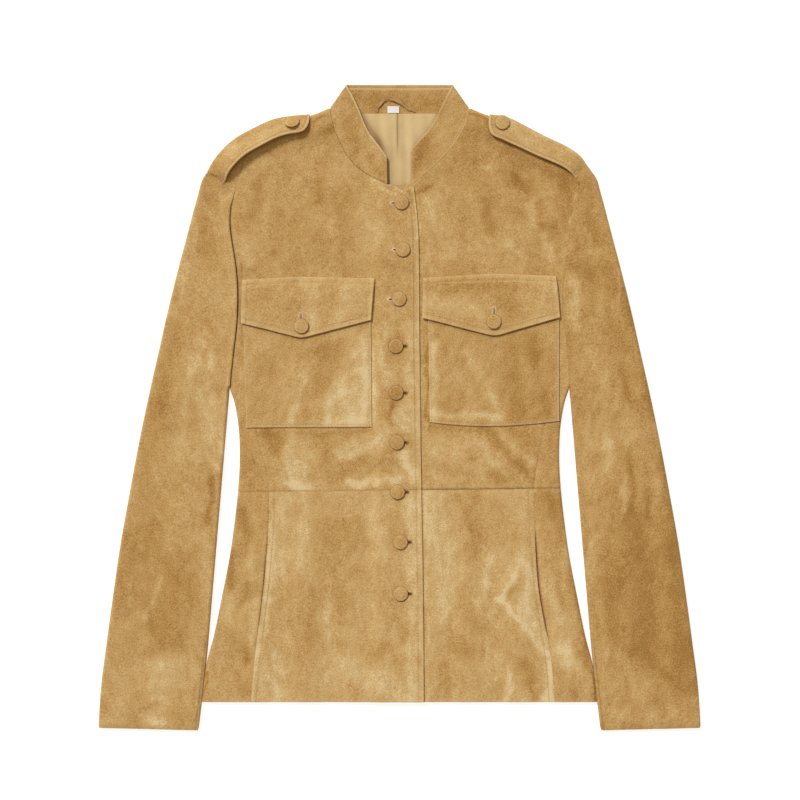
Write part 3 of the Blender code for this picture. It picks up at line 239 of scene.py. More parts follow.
# How far each seam is drawn in, and how clearly it shows
WAIST_SEAM, ARMHOLE_SEAM = {RIGHT: CLOSED, LEFT: SEAM}, CLOSED
COLLAR_SEAM = {RIGHT: SEAM, LEFT: -0.3}
# The right armhole's strong dark line and its soft wide edge are painted shade: the raised sleeve head's
# shadow on the front
ARMHOLE_DEEP, WAIST_DEEP = {RIGHT: 1.3, LEFT: 0.25}, {RIGHT: 0.5, LEFT: 0.8}
ARMHOLE_SOFT_Y, ARMHOLE_FULL_Y, ARMHOLE_SOFT, SLEEVE_DEEP = 236.0, 190.0, 0.3, 0.7
NECK_DEEP, SLIT_DEEP, SLIT_LEAST, SLIT_BEYOND = {RIGHT: 0.35, LEFT: 0.12}, 0.9, 0.25, 20.0
PRINCESS_DEEP, PRINCESS_SOFT_Y, PRINCESS_SOFT_LENGTH = 0.3, 20.0, 40.0
INNER_SEAM_AT, INNER_SEAM_FULL_Y, INNER_SEAM_END_Y = 3.2, -280.0, -230.0

# Relief, shade and light of the sewing
SEAM_DIP, SEAM_WIDTH, SEAM_DARK, SEAM_MOST = 0.75, 1.3, (0.6, 0.4), 0.35
SEAM_LIGHT, SEAM_LIGHT_AT, SEAM_LIGHT_WIDTH = 0.3, 3.2, 1.8
DEEP_SHADE, DEEP_WIDTH = 2.0, 2.8
PUCKER_HEIGHT, PUCKER_REACH, PUCKER_CLEAR = 0.13, 7.0, 2.0
TURN_RADIUS, TURN_LIGHT, TURN_LIGHT_AT, TURNED_LIGHT = 0.9, 0.45, 1.1, 0.3
STITCH_DIP, STITCH_WIDTH, STITCH_SHADE, STITCH_LIGHT, STRAP_CLEAR = 0.3, 0.85, 0.3, 0.25, 2.4
GROOVE_DIP, GROOVE_SHADE, GROOVE_WIDTH = 0.45, 0.8, 0.9
EDGE_SHADOW = ((0.7, 1.2), (0.45, 3.2))

# Uneven waves of the cloth: height, length, degrees, shift
RIPPLES = [(0.16, 74.0, 18.0, 0.4), (0.13, 51.0, 104.0, 1.9), (0.09, 33.0, 61.0, 3.1),
           (0.05, 19.0, 151.0, 4.4), (0.035, 12.0, 27.0, 0.9)]
BACK_HOLLOWS = [(0.16, 120.0, 80.0, 0.3), (0.1, 64.0, 15.0, 2.2)]
WARP = [(1.8, 57.0, 70.0, 0.6), (1.2, 23.0, 160.0, 2.7), (0.5, 11.0, 40.0, 1.3)]

# Suede tones from the darkest nap to the lightest, and how much each cause changes the tone
SUEDE_TONES = [(0.0, (151, 110, 56)), (0.25, (174, 133, 75)), (0.5, (191, 154, 98)),
               (0.75, (203, 171, 117)), (1.0, (219, 194, 147))]
SUEDE_SHADE, SUEDE_LIGHT = (108, 60, 14), (226, 197, 146)
NAP_SHARE, NAP_LIGHTER, NAP_BROKEN = 0.42, 0.14, 0.8
SHADE_SHARE, SHADE_MOST, LIGHT_SHARE = 0.5, 0.9, 0.4
BUMP_STRENGTH, BUMP_DEPTH, BUMP_MOTTLE = 0.5, 0.0005, 0.8

# Noise of the nap, broad, brushed, mottled and grainy: scale, detail, roughness, weight, drawn out
NAP_NOISES = [(9.0, 2.0, 0.55, 0.15, False), (38.0, 3.0, 0.55, 0.42, True),
              (130.0, 3.0, 0.6, 0.65, True), (700.0, 2.0, 0.6, 1.4, False)]

# Suedes: degrees of the nap, place in the noise, change of tone, how drawn out
SUEDES = {"suede": (10.0, 0.0), "suede_low": (4.0, 5.7, 0.06), "suede_collar": (50.0, 17.0, -0.08),
          "suede_chest_right": (-20.0, 3.1, -0.01, 0.8), "suede_chest_left": (-20.0, 3.1, -0.06, 0.8),
          "suede_pocket_right": (30.0, 8.2), "suede_pocket_left": (30.0, 8.2, -0.06),
          "suede_strap_right": (60.0, 9.4, -0.12), "suede_strap_left": (-60.0, 9.4),
          "suede_sleeve_right": (-12.0, 11.3), "suede_sleeve_left": (12.0, 13.9, -0.11)}

# Other cloths: colour, roughness, sheen, weave, colour of the shade, specular
PLAINS = {"satin": ((219, 190, 137), 0.42, 0.1, 0.0, (130, 92, 50), 0.4),
          "ribbon": ((181, 141, 98), 0.6, 0.2, 0.3), "label_white": ((250, 247, 240), 0.75),
          # The buttonholes' dark sheets are painted shade in their openings
          "facing": ((160, 104, 64), 0.9), "hole_shade": ((48, 28, 14), 0.9),
          "thread": ((222, 190, 136), 0.7, 0.2), "thread_faint": ((200, 163, 107), 0.7, 0.2),
          "thread_dark": ((150, 112, 70), 0.7), "thread_light": ((236, 212, 178), 0.6)}
THREAD_OF = {"stitching_fronts": "thread_faint", "stitching_collar": "thread_faint",
             "stitching_buttonholes": "thread_light", "stitching_pocket_holes": "thread_light",
             "stitching_lower_holes": "thread_dark"}

# Stage
FLOOR_HALF, FLOOR_Z, FLOOR_COLOUR, FLOOR_GLOW = 40.0, -0.0003, (0.4, 0.4, 0.4, 1.0), 0.8
SUN_FROM, SUN_ANGLE, SUN_STRENGTH, SUN_COLOUR = (-0.62, 0.86, 1.08), 12.0, 2.84, (0.87, 0.925, 1.0)
WORLD_COLOUR, WORLD_STRENGTH = (1.0, 0.85, 0.64, 1.0), 0.46
CAMERA_PLACE = (0.0005, 0.008, 2.167)

# Creases of the cloth: x0, y0, x1, y1, half width, height
CREASES = {}
CREASES["front"] = [
    (-75, 298, -104, 210, 8.6, -0.35), (-134, 265, -164, 196, 7.6, -0.5), (-148, 276, -169, 219, 5.4, 0.3),
    (-165, 190, -166, 151, 5.4, 0.5), (-47, 235, -51, 157, 9.7, 0.3), (16, 230, 31, 238, 2.4, -0.5),
    (14, 224, 26, 231, 2.7, 0.35), (169, 166, 182, 170, 2.7, -0.5), (172, 174, 183, 180, 3.2, 0.4),
    (92, -25, 137, -75, 4.3, -0.6), (101, -22, 144, -63, 4.3, 0.5), (143, -48, 165, -80, 5.4, 0.3),
    (-116, -26, -126, -85, 8.6, 0.5), (-88, -35, -90, -85, 6.5, -0.35), (-59, -42, -2, -29, 6.5, 0.4),
    (87, 221, 96, 192, 5.4, -0.45), (124, 244, 133, 232, 4.3, -0.4), (109, -197, 157, -268, 3.2, 0.7),
    (123, -179, 109, -199, 4.3, 0.6), (127, -195, 157, -251, 4.3, -0.4), (94, -173, 89, -210, 4.3, 0.4),
    (120, -284, 116, -318, 2.8, 0.7), (134, -275, 150, -318, 4.3, -0.45), (84, -91, 86, -159, 7.6, -0.4),
    (-126, -98, -142, -232, 8.6, 0.5), (-100, -122, -110, -167, 6.5, 0.4),
    (-64, -197, -59, -230, 5.4, -0.35), (-26, -165, -30, -318, 9.7, 0.35), (55, -219, 50, -318, 8.6, -0.35),
    (27, 75, 28, -26, 1.7, -0.45), (-161, -132, -181, -197, 6.5, -0.4), (170, -165, 195, -264, 4.3, -0.35),
    (184, -246, 186, -316, 7.6, 0.35), (-107, 62, -118, -18, 3.8, 0.35), (-51, 66, -66, -18, 6.5, 0.3),
    (114, 68, 143, -18, 8.6, -0.35), (69, 73, 109, -14, 5.4, 0.3), (69, 336, 63, 313, 2.6, -0.5),
    (-51, 328, -40, 278, 3.2, -0.3), (40, 308, 33, 267, 4.3, 0.3)]
CREASES["sleeve"] = [
    (-202, -70, -208, -130, 4.9, -0.7), (-193, 161, -200, 25, 6.5, 0.45), (-210, 190, -220, 84, 7.6, -0.3),
    (-231, 84, -248, -24, 7.6, 0.4), (-254, -14, -269, -122, 8.6, -0.35), (-226, 8, -233, -122, 7.6, 0.3),
    (-272, -186, -277, -232, 3.8, 0.5), (-248, -165, -261, -316, 8.6, -0.35),
    (-221, -208, -226, -333, 5.4, 0.4), (-293, -251, -302, -340, 7.6, 0.35), (180, 82, 171, 60, 3.2, 0.6),
    (184, 116, 187, 23, 4.3, -0.45), (206, 226, 204, 168, 4.3, -0.4), (224, 192, 240, 84, 7.6, 0.35),
    (249, 116, 273, -14, 7.6, -0.35), (200, 8, 210, -122, 7.6, 0.35), (249, -48, 256, -118, 4.3, -0.55),
    (264, -76, 277, -113, 3.8, -0.45), (221, -143, 212, -197, 6.5, 0.4), (276, -122, 294, -273, 9.7, -0.3),
    (230, -251, 240, -333, 6.5, 0.35), (314, -251, 318, -340, 4.3, -0.3)]

# Strokes of the nap and of painted shade: x0, y0, x1, y1, half width, lighter or darker; some dark strokes
# are painted shadows and crease shade, some light ones painted highlights along edges
NAP_AND_SHADE_STROKES = {}
NAP_AND_SHADE_STROKES["upper"] = [
    # Painted shade: the first stroke here is the shadow beside the wearer's right armhole
    (-173, 151, -173, 68, 2.4, -0.7), (-92, 309, -76, 317, 1.2, -0.9), (70, 280, 55, 254, 5.4, -0.3),
    (192, 231, 185, 200, 1.4, 0.6), (185, 200, 183, 168, 1.3, 0.5), (76, 320, 98, 310, 1.2, -0.9),
    # Painted shade and highlights of the puckers at the lap's top run over this line and the next two; the
    # stroke from x 193 carries the strap's painted shadow past its sewn end
    (12, 236, 14, 207, 1.0, -0.7), (17, 237, 19, 181, 1.7, 0.7), (18, 231, 33, 239, 2.4, -1.1),
    (-15, 237, 3, 238, 1.7, -0.5), (-21, 241, -11, 235, 1.6, -0.5), (-8, 235, 5, 233, 1.5, 0.4),
    (-15, 232, -4, 227, 1.7, 0.35), (193, 239, 199, 237, 1.2, -1.1), (10, 235, 12, 224, 1.3, -0.6),
    # Painted shadows on this line and the next two: beside the left pocket's inner edge, around buttons
    # four to six and under both pockets; the light stroke at x 20 is a painted highlight along the lap's
    # edge
    (30, 71, 31, -24, 1.7, -0.8), (-7, 69, -3, 65, 8.6, -0.35), (-8, 15, -4, 12, 9.7, -0.4),
    (-8, -36, -3, -39, 8.6, -0.35), (-9, 4, -8, -18, 2.7, -0.5), (26, 71, 27, -24, 1.3, 0.3),
    (-172, -28, -25, -28, 3.2, -0.35), (35, -22, 114, -23, 3.2, -0.3), (20, 159, 22, -14, 1.7, 0.35),
    (-75, 298, -90, 224, 7.6, -0.5), (-148, 250, -165, 185, 6.5, -0.35), (-125, 259, -133, 170, 7.6, -0.3),
    (-107, 208, -116, 157, 9.7, -0.3), (-59, 235, -60, 143, 8.6, -0.4), (-86, 186, -84, 148, 8.6, -0.25),
    (-134, 168, -148, 146, 8.6, -0.25), (-148, 276, -107, 282, 8.6, -0.3),
    (-172, 244, -174, 194, 4.3, -0.2), (-102, 298, -53, 300, 9.7, -0.3), (-165, 181, -166, 157, 5.4, 0.35),
    (-101, 194, -105, 176, 7.6, 0.2), (-34, 224, -30, 165, 9.7, 0.2), (-17, 200, -19, 181, 5.4, 0.2),
    (-26, 246, -8, 235, 7.6, 0.4), (-47, 155, 11, 151, 8.6, -0.25), (-31, 68, -30, -14, 5.4, 0.7),
    (-15, 84, -21, 60, 6.5, 0.5), (-16, 49, -12, 25, 7.6, 0.5), (11, 84, 14, -19, 6.5, 0.45),
    (1, 6, 3, -19, 7.6, 0.5), (-5, 68, -4, 55, 9.7, -0.25), (-7, 17, -9, -7, 5.4, -0.5),
    (-144, -26, -133, -42, 8.6, -0.5), (-118, -29, -116, -83, 7.6, 0.5), (-102, -51, -104, -85, 9.7, 0.4),
    (-124, -83, -94, -85, 4.3, 0.6), (-159, -83, -148, -86, 4.3, 0.4), (-83, -31, -79, -68, 9.7, -0.4),
    (-59, -51, -12, -31, 7.6, 0.6), (-56, -83, -36, -83, 4.3, 0.9), (-30, -80, 1, -76, 4.3, 0.6),
    (5, -52, 15, -76, 6.5, 0.9), (-75, -78, -59, -74, 6.5, -0.25), (-59, -63, -5, -61, 7.6, -0.3),
    (91, 224, 99, 194, 7.0, -0.65), (109, 219, 130, 209, 9.7, -0.3), (124, 246, 137, 235, 6.5, -0.6),
    (109, 250, 122, 244, 7.6, -0.25), (150, 218, 153, 209, 4.3, -0.5), (155, 197, 165, 194, 3.8, -0.5),
    (141, 221, 147, 198, 4.3, 0.3), (158, 186, 166, 159, 5.4, 0.5), (114, 177, 132, 161, 5.4, 0.35),
    (68, 300, 82, 267, 13.0, -0.35), (87, 300, 130, 267, 9.7, -0.35), (141, 265, 190, 241, 7.6, -0.5),
    (179, 246, 180, 202, 7.6, -0.4), (169, 190, 173, 157, 6.5, -0.2), (33, 230, 39, 192, 8.6, 0.3),
    (55, 200, 50, 164, 9.7, 0.25), (28, 181, 33, 151, 6.5, 0.2), (89, 261, 109, 248, 5.4, 0.3),
    (33, -40, 98, -57, 17.3, 0.3), (76, -48, 77, -55, 5.4, -0.6), (103, -72, 107, -78, 6.5, -0.55),
    (93, -24, 139, -74, 3.8, -0.6), (105, -24, 144, -61, 4.3, 0.35), (85, -35, 114, -74, 4.3, 0.25),
    (124, -24, 152, -44, 9.7, -0.4), (38, -76, 55, -80, 8.6, 0.3)]
NAP_AND_SHADE_STROKES["lower"] = [
    (19, -100, 21, -316, 1.9, 0.2), (29, -100, 29, -316, 1.6, 0.35), (-139, -124, -142, -208, 3.8, 0.6),
    (-144, -208, -152, -262, 4.3, 0.6), (-155, -262, -161, -316, 4.9, 0.45),
    (-124, -100, -133, -186, 7.6, 0.35), (-102, -94, -105, -165, 6.5, 0.35),
    (-77, -124, -75, -171, 10.8, -0.4), (-57, -127, -53, -154, 7.6, -0.4),
    (-94, -197, -59, -199, 5.4, -0.25), (-94, -208, -99, -251, 8.6, -0.35),
    (-64, -202, -60, -232, 6.5, -0.45), (-77, -214, -79, -251, 5.4, 0.3),
    (-15, -260, -23, -267, 7.6, -0.45), (6, -234, 8, -252, 6.5, -0.4), (-134, -267, -128, -286, 4.3, 0.5),
    (-148, -278, -133, -310, 8.6, 0.4), (-107, -277, -103, -280, 6.5, -0.2),
    (-59, -281, 3, -307, 15.1, 0.45), (-86, -294, -77, -305, 8.6, 0.25), (12, -100, 14, -197, 6.5, 0.4),
    # Painted shadows around buttons seven and eight follow on this line
    (12, -208, 14, -316, 6.5, 0.45), (-5, -93, -1, -96, 6.5, -0.35), (-4, -144, 1, -146, 8.6, -0.35),
    (-32, -100, -21, -165, 9.7, 0.2), (-43, -122, -40, -148, 5.4, -0.3), (33, -100, 44, -212, 13.0, 0.4),
    (55, -143, 48, -232, 7.6, 0.25), (83, -89, 80, -156, 9.7, -0.45), (114, -100, 119, -144, 13.0, -0.2),
    (130, -100, 136, -165, 7.6, 0.2), (109, -206, 157, -267, 3.2, 0.8), (109, -206, 124, -180, 3.8, 0.65),
    (124, -180, 130, -167, 4.3, 0.4), (130, -208, 157, -251, 9.7, 0.5), (122, -197, 126, -207, 4.3, -0.6),
    (136, -171, 141, -208, 6.5, 0.4), (98, -165, 87, -210, 4.3, 0.5), (60, -253, 72, -264, 9.7, -0.5),
    (49, -281, 50, -290, 7.6, -0.3), (134, -277, 147, -294, 6.5, -0.7), (141, -294, 147, -316, 4.3, -0.5),
    (50, -303, 51, -307, 3.2, -0.7), (120, -286, 116, -318, 3.0, 0.8), (160, -267, 163, -318, 6.5, 0.85),
    (103, -273, 87, -305, 13.0, 0.15), (76, -230, 109, -251, 8.6, -0.2)]
NAP_AND_SHADE_STROKES["side"] = [
    # Painted shadows: the first two strokes are dark lines where the sleeves' edges lie against the body's
    # sides above the hem
    (-210, -288, -213, -318, 1.4, -1.0), (208, -285, 214, -318, 1.4, -1.0),
    (155, -96, 169, -100, 9.7, -0.3), (-167, -24, -159, -72, 14.0, -0.3),
    (-168, -113, -164, -156, 5.4, -0.7), (-177, -156, -185, -193, 5.4, -0.8),
    (-167, -193, -169, -208, 5.4, -0.55), (-184, -240, -181, -254, 4.3, -0.5),
    (-168, -260, -167, -275, 5.4, -0.7), (-174, -100, -172, -122, 6.5, -0.4),
    (-159, -159, -161, -181, 5.4, 0.4), (-183, -208, -185, -230, 7.6, 0.35),
    (-156, -208, -159, -256, 4.3, 0.4), (-172, -294, -160, -317, 6.5, -0.3),
    (163, -24, 165, -122, 15.1, -0.4), (176, -256, 186, -277, 8.6, 0.9), (160, -195, 171, -232, 5.4, 0.4),
    (186, -178, 196, -208, 6.5, -0.6), (195, -214, 204, -281, 5.4, -0.75),
    (169, -165, 174, -214, 4.3, -0.4), (188, -305, 191, -314, 6.5, -0.5), (169, -100, 173, -154, 6.5, -0.3),
    (208, -305, 212, -316, 4.3, -0.4)]
NAP_AND_SHADE_STROKES["flap"] = [
    (-97, 129, -93, 88, 9.7, 0.35), (-58, 129, -64, 99, 10.8, 0.3), (-148, 118, -146, 112, 10.8, -0.2),
    (28, 132, 122, 130, 6.5, -0.35), (31, 114, 89, 102, 13.0, 0.45), (158, 123, 152, 97, 13.0, 0.25),
    (114, 118, 122, 96, 6.5, -0.3)]
NAP_AND_SHADE_STROKES["pocket"] = [
    (-36, 69, -38, -14, 6.5, 0.8), (-51, 60, -45, 38, 6.5, 0.5), (-59, 24, -53, -18, 11.9, 0.75),
    (-75, 14, -79, -18, 6.5, 0.5), (-75, -16, -32, -16, 4.3, 0.4), (-103, 38, -116, -18, 3.8, 0.5),
    (-148, 46, -146, 35, 13.0, -0.25), (-134, -1, -123, -14, 9.7, -0.2), (-124, 68, -64, 62, 10.8, -0.25),
    (-79, 62, -86, 19, 8.6, -0.35), (-107, 14, -101, -8, 5.4, -0.25), (36, 71, 37, -14, 4.3, 0.6),
    (39, -7, 109, -12, 4.3, 0.6), (76, 60, 112, -7, 5.4, 0.4), (60, 30, 76, 3, 8.6, 0.2),
    (50, 62, 55, 53, 6.5, -0.35), (63, 12, 72, 6, 5.4, -0.3), (119, 68, 130, -16, 10.8, -0.45),
    (141, 73, 147, 49, 6.5, -0.55), (147, 68, 160, -14, 10.8, -0.4), (165, 62, 169, 40, 5.4, -0.2),
    # Painted shadow: the last stroke is the flap's shadow at the left pocket's outer end
    (143, 90, 171, 96, 4.3, -0.8)]
NAP_AND_SHADE_STROKES["sleeve"] = [
    (-207, 252, -187, 242, 1.0, -0.9), (-209, 240, -210, 170, 9.7, -0.35),
    (-200, 165, -207, 94, 8.6, -0.15), (-219, 208, -237, 116, 3.8, 0.2), (-231, 151, -235, 114, 4.3, 0.05),
    (-241, 84, -256, 6, 11.9, -0.4), (-259, 8, -278, -100, 10.8, -0.35), (-210, 84, -226, 35, 5.4, 0.45),
    (-202, 68, -205, 38, 3.8, 0.45), (-211, 14, -209, -35, 9.7, 0.35), (-200, 8, -202, -59, 6.5, 0.3),
    (-232, 19, -239, -51, 7.6, 0.2), (-190, 12, -195, -68, 3.8, 0.4), (-201, -76, -207, -127, 3.2, -1.0),
    (-259, -84, -263, -102, 6.5, -0.25), (-293, -132, -298, -219, 10.8, -0.4),
    (-269, -127, -272, -186, 14.0, -0.35), (-242, -165, -246, -251, 16.2, -0.5),
    (-269, -208, -263, -256, 10.8, -0.35), (-226, -186, -222, -230, 6.5, -0.35),
    (-258, -184, -274, -230, 3.0, 0.6), (-210, -143, -208, -208, 4.3, 0.25),
    (-253, -281, -259, -312, 18.4, 0.4), (-221, -273, -215, -316, 3.8, 0.35),
    (-275, -325, -263, -320, 4.3, -0.5), (-269, -338, -259, -342, 5.4, 0.7),
    (-310, -294, -296, -333, 10.8, 0.15), (200, 240, 208, 181, 10.8, -0.4),
    (217, 192, 230, 127, 6.5, -0.25), (201, 192, 205, 170, 3.2, 0.5), (186, 157, 208, 143, 9.7, -0.45),
    (188, 132, 190, 89, 6.5, 0.55), (236, 136, 240, 84, 2.7, 0.3), (245, 127, 277, -14, 5.4, -0.5),
    (227, 116, 233, 73, 10.8, -0.15), (240, 46, 247, 6, 5.4, -0.4), (206, 57, 225, 8, 10.8, 0.25),
    (222, -11, 217, -37, 9.7, 0.4), (244, -3, 247, -35, 7.6, 0.25), (199, -24, 208, -122, 7.6, 0.25),
    (225, -35, 223, -74, 6.5, 0.4), (250, -51, 253, -113, 3.2, -0.55), (266, -87, 271, -122, 3.2, -0.5),
    (285, -51, 290, -100, 4.3, -0.55), (242, -78, 245, -113, 2.7, 0.4), (273, -59, 280, -100, 2.7, 0.3),
    (230, -156, 230, -240, 11.9, -0.4), (260, -127, 266, -262, 18.4, -0.55),
    (294, -111, 305, -273, 13.0, -0.6), (211, -141, 204, -182, 4.9, 0.5), (217, -208, 225, -273, 4.3, 0.35),
    (276, -281, 314, -305, 8.6, -0.45), (240, -275, 260, -305, 9.7, 0.2), (230, -333, 303, -333, 9.7, 0.25),
    (316, -251, 321, -305, 4.3, -0.4)]
NAP_AND_SHADE_STROKES["collar"] = [
    (-53, 313, -48, 276, 5.4, -0.35), (-69, 323, -63, 298, 4.3, 0.35), (-28, 248, -24, 241, 5.4, 0.1),
    (-30, 269, -23, 250, 4.3, -0.3), (-38, 267, -35, 259, 5.4, 0.25), (29, 291, 14, 256, 6.5, -0.6),
    (56, 334, 49, 306, 7.6, 0.3), (-43, 341, 44, 323, 9.7, -0.35)]
NAP_AND_SHADE_STROKES["strap"] = [
    (-207, 252, -187, 242, 1.0, -0.9), (-183, 278, -118, 302, 9.7, 0.35), (119, 304, 190, 276, 9.7, 0.25)]


# ---- curves in the plan

def bell(distance, width):
    """1 at no distance, falling off smoothly over about a width."""
    return np.exp(-(distance / width)**2)


def unit(vectors):
    """The same directions with a length of 1."""
    return vectors / np.linalg.norm(vectors, axis=-1, keepdims=True)


def spline(points, per_span=PER_SPAN):
    """Dense smooth line through the points."""
    points = np.array(points, float)
    at = arc(points)
    slope = np.gradient(points, at, axis=0)
    line = []
    for i in range(len(points) - 1):
        span = at[i + 1] - at[i]
        t = np.arange(per_span)[:, None] / per_span
        line.append((2 * t**3 - 3 * t**2 + 1) * points[i] + (t**3 - 2 * t**2 + t) * span * slope[i]
                    + (3 * t**2 - 2 * t**3) * points[i + 1] + (t**3 - t**2) * span * slope[i + 1])
    return np.vstack(line + [points[-1:]])


def arc(line):
    """Distance along a line at each of its points."""
    steps = np.linalg.norm(np.diff(np.array(line, float), axis=0), axis=1)
    return np.concatenate([[0.0], np.cumsum(steps)])


def along(line, distances, at=None):
    """Values of a line at distances from its start; at gives its points' own distances."""
    line = np.array(line, float)
    at = arc(line) if at is None else at
    return np.stack([np.interp(distances, at, each) for each in line.T], axis=1)


def spaced(line, count, start=(0.0,), end=(0.0,)):
    """Points evenly spaced along a line, after and before given distances from its ends."""
    total = arc(line)[-1]
    last = [total - distance for distance in reversed(end)]
    even = np.linspace(start[-1], last[0], count + 1)
    return along(line, np.concatenate([start[:-1], even, last[1:]]))


def count_for(step, start, end, *lines):
    """Number of even intervals that keeps the longest line's points a step apart."""
    return max(2, round((max(arc(line)[-1] for line in lines) - start[-1] - end[-1]) / step))


def column(table, side):
    """Points (x, y) of one side from a table with the columns y, right x, left x."""
    return [(row[1] if side == RIGHT else row[2], row[0]) for row in table]


def shoulder(side):
    """Shoulder line of one side, in distances from the middle."""
    return [(row[0], row[1] if side == RIGHT else row[2]) for row in SHOULDER]


def waist(x, side):
    """A point of the waist seam at a distance from the middle."""
    return (x, WAIST_Y + WAIST_TILT * x * side)


def mirrored(points, side):
    """From distances from the middle to places in X and Y."""
    return np.array(points, float) * (side, 1)


def edge_lines(side):
    """The folded edges: collar and shoulder to cuff, inner edge of the sleeve, body side."""
    outer = spline(shoulder(side) + SLEEVE_OUTER)
    return [np.vstack([[COLLAR[side][-1][2:]], outer]), spline(SLEEVE_INNER), spline(BODY_SIDE)]


def edge_segments():
    """Starts and steps of the segments of all folded edges."""
    lines = [mirrored(line, side) for side in (RIGHT, LEFT) for line in edge_lines(side)]
    return np.vstack([line[:-1] for line in lines]), np.vstack([np.diff(line, axis=0) for line in lines])


EDGE_START, EDGE_STEP = edge_segments()
RIDGE = {side: mirrored(shoulder(side)[STRAP_FIRST:STRAP_LAST[side] + 1], side) for side in (RIGHT, LEFT)}


def nearest(points, start, step):
    """Distance from each point to a set of segments, and the direction away from them."""
    flat = points.reshape(-1, points.shape[-1])
    length = (step * step).sum(-1)
    distances, aways = [], []
    for first in range(0, len(flat), CHUNK):
        offset = flat[first:first + CHUNK, None, :] - start
        share = np.clip((offset * step).sum(-1) / length, 0.0, 1.0)
        away = offset - share[..., None] * step
        distance = np.sqrt((away * away).sum(-1))
        best = distance.argmin(-1)
        rows = np.arange(len(best))
        distances.append(distance[rows, best])
        aways.append(away[rows, best])
    distance = np.concatenate(distances).reshape(points.shape[:-1])
    away = np.concatenate(aways).reshape(points.shape)
    return distance, away / np.maximum(distance, 1e-9)[..., None]


def line_distance(points, line):
    """Distance from each point to a line."""
    return nearest(points, line[:-1], np.diff(line, axis=0))[0]


# ---- heights of the two layers

def smoothstep(t):
    t = np.clip(t, 0.0, 1.0)
    return t * t * (3 - 2 * t)


def roll_height(depth):
    """Quarter circle: 0 on a rolled edge and 1 from the roll's radius inwards."""
    return np.sqrt(1 - np.clip(1 - depth / ROLL, 0.0, 1.0)**2)


def roll_slope(depth):
    """Slope of the quarter circle, kept finite on the edge."""
    return np.clip(1 - depth / ROLL, 0.0, 1.0) / (ROLL * np.maximum(roll_height(depth), LEAST_HEIGHT))


def middle(points):
    """Height of the rolled edges' middle: the strap's lower half lifts the shoulder."""
    near = np.minimum(line_distance(points, RIDGE[RIGHT]), line_distance(points, RIDGE[LEFT]))
    lifted = 1 - smoothstep((near - LIFT_FULL) / (LIFT_END - LIFT_FULL))
    return MIDDLE + (STRAP_RADIUS + STRAP_WALL - MIDDLE) * lifted


def flat_swell(points):
    return np.zeros(points.shape[:-1])


def end_drop(points):
    """The two layers come closer at the hem and at the cuffs."""
    x, y = np.abs(points[..., 0]), points[..., 1]
    along_cuff = (x - CUFF_INNER[0]) / (CUFF_OUTER[0] - CUFF_INNER[0])
    cuff_y = CUFF_INNER[1] + (CUFF_OUTER[1] - CUFF_INNER[1]) * np.clip(along_cuff, 0.0, 1.0)
    end_y = np.where(x > (BODY_SIDE[-1][0] + CUFF_INNER[0]) / 2, cuff_y, HEM_Y)
    return HEM_DROP * (1 - smoothstep((y - end_y) / HEM_DROP_LENGTH))


def flutes(points):
    """Soft waves that grow from the waist seam to the hem and die out at the front edge."""
    x, y = points[..., 0], points[..., 1]
    grown = smoothstep((FLUTE_TOP_Y - y) / (FLUTE_TOP_Y - FLUTE_FULL_Y))
    clear = (smoothstep((np.abs(x) - FLUTE_INNER_X) / FLUTE_FADE)
             * smoothstep((FLUTE_OUTER_X - np.abs(x)) / FLUTE_FADE))
    return FLUTE_HEIGHT * grown * clear * np.sin(2 * math.pi * x / FLUTE_LENGTH)


def strokes(points, rows):
    """Sum of soft strokes: each row has x0, y0, x1, y1, half width and height."""
    total = np.zeros(points.shape[:-1])
    for x0, y0, x1, y1, half_width, height in rows:
        ends = np.array([(x0, y0), (x1, y1)], float)
        reach = STROKE_REACH * half_width
        near = np.all((points > ends.min(0) - reach) & (points < ends.max(0) + reach), axis=-1)
        if near.any():
            total[near] += height * bell(line_distance(points[near], ends), half_width)
    return total


def waves(points, table):
    """Uneven smooth waves: each row has height, length, direction in degrees and shift."""
    total = np.zeros(points.shape[:-1])
    x, y = points[..., 0], points[..., 1]
    for height, length, degrees, shift in table:
        turn = math.radians(degrees)
        run = x * math.cos(turn) + y * math.sin(turn)
        across = y * math.cos(turn) - x * math.sin(turn)
        bent = run + WAVE_BEND * length * np.sin(across / (WAVE_ACROSS * length) + shift)
        total += height * np.sin(2 * math.pi * bent / length + 3.0 * shift)
    return total


def front_swell(side):
    """Height of a front over the flat level; the right one is raised where it laps over."""
    def swell(points):
        lap = (points[..., 0] + LAP_RAISE_START) / (LAP_RAISE_START - LAP_RAISE_END)
        raised = LAP_RAISE * smoothstep(lap) if side == RIGHT else 0.0
        form = raised + flutes(points) + strokes(points, FOLDS) - end_drop(points)
        return form + strokes(points, CREASES["front"]) + waves(points, RIPPLES)
    return swell


def sleeve_swell(side):
    """Height of a top sleeve, raised beside the armhole seam."""
    seam = mirrored(armhole(side), side)

    def swell(points):
        away = line_distance(points, seam)
        y = points[..., 1]
        below_top = smoothstep((SLEEVE_HEAD_TOP_Y - y) / (SLEEVE_HEAD_TOP_Y - SLEEVE_HEAD_FULL_Y))
        faded = ((y - ARMPIT[1] + SLEEVE_HEAD_BELOW_ARMPIT)
                 / (SLEEVE_HEAD_ABOVE_ARMPIT + SLEEVE_HEAD_BELOW_ARMPIT))
        head = HEAD_RAISE[side] * below_top * smoothstep(faded) * np.exp(-away / SLEEVE_HEAD_LENGTH)
        form = head + strokes(points, FOLDS) - end_drop(points)
        return form + strokes(points, CREASES["sleeve"]) + waves(points, RIPPLES)
    return swell


def back_swell(points):
    """Shallow hollows in the underside, which still rests flat."""
    return -np.abs(waves(points, BACK_HOLLOWS))


def gradient(function, points, step=0.5):
    shifts = np.eye(2) * step
    return np.stack([(function(points + s) - function(points - s)) / (2 * step) for s in shifts], axis=-1)


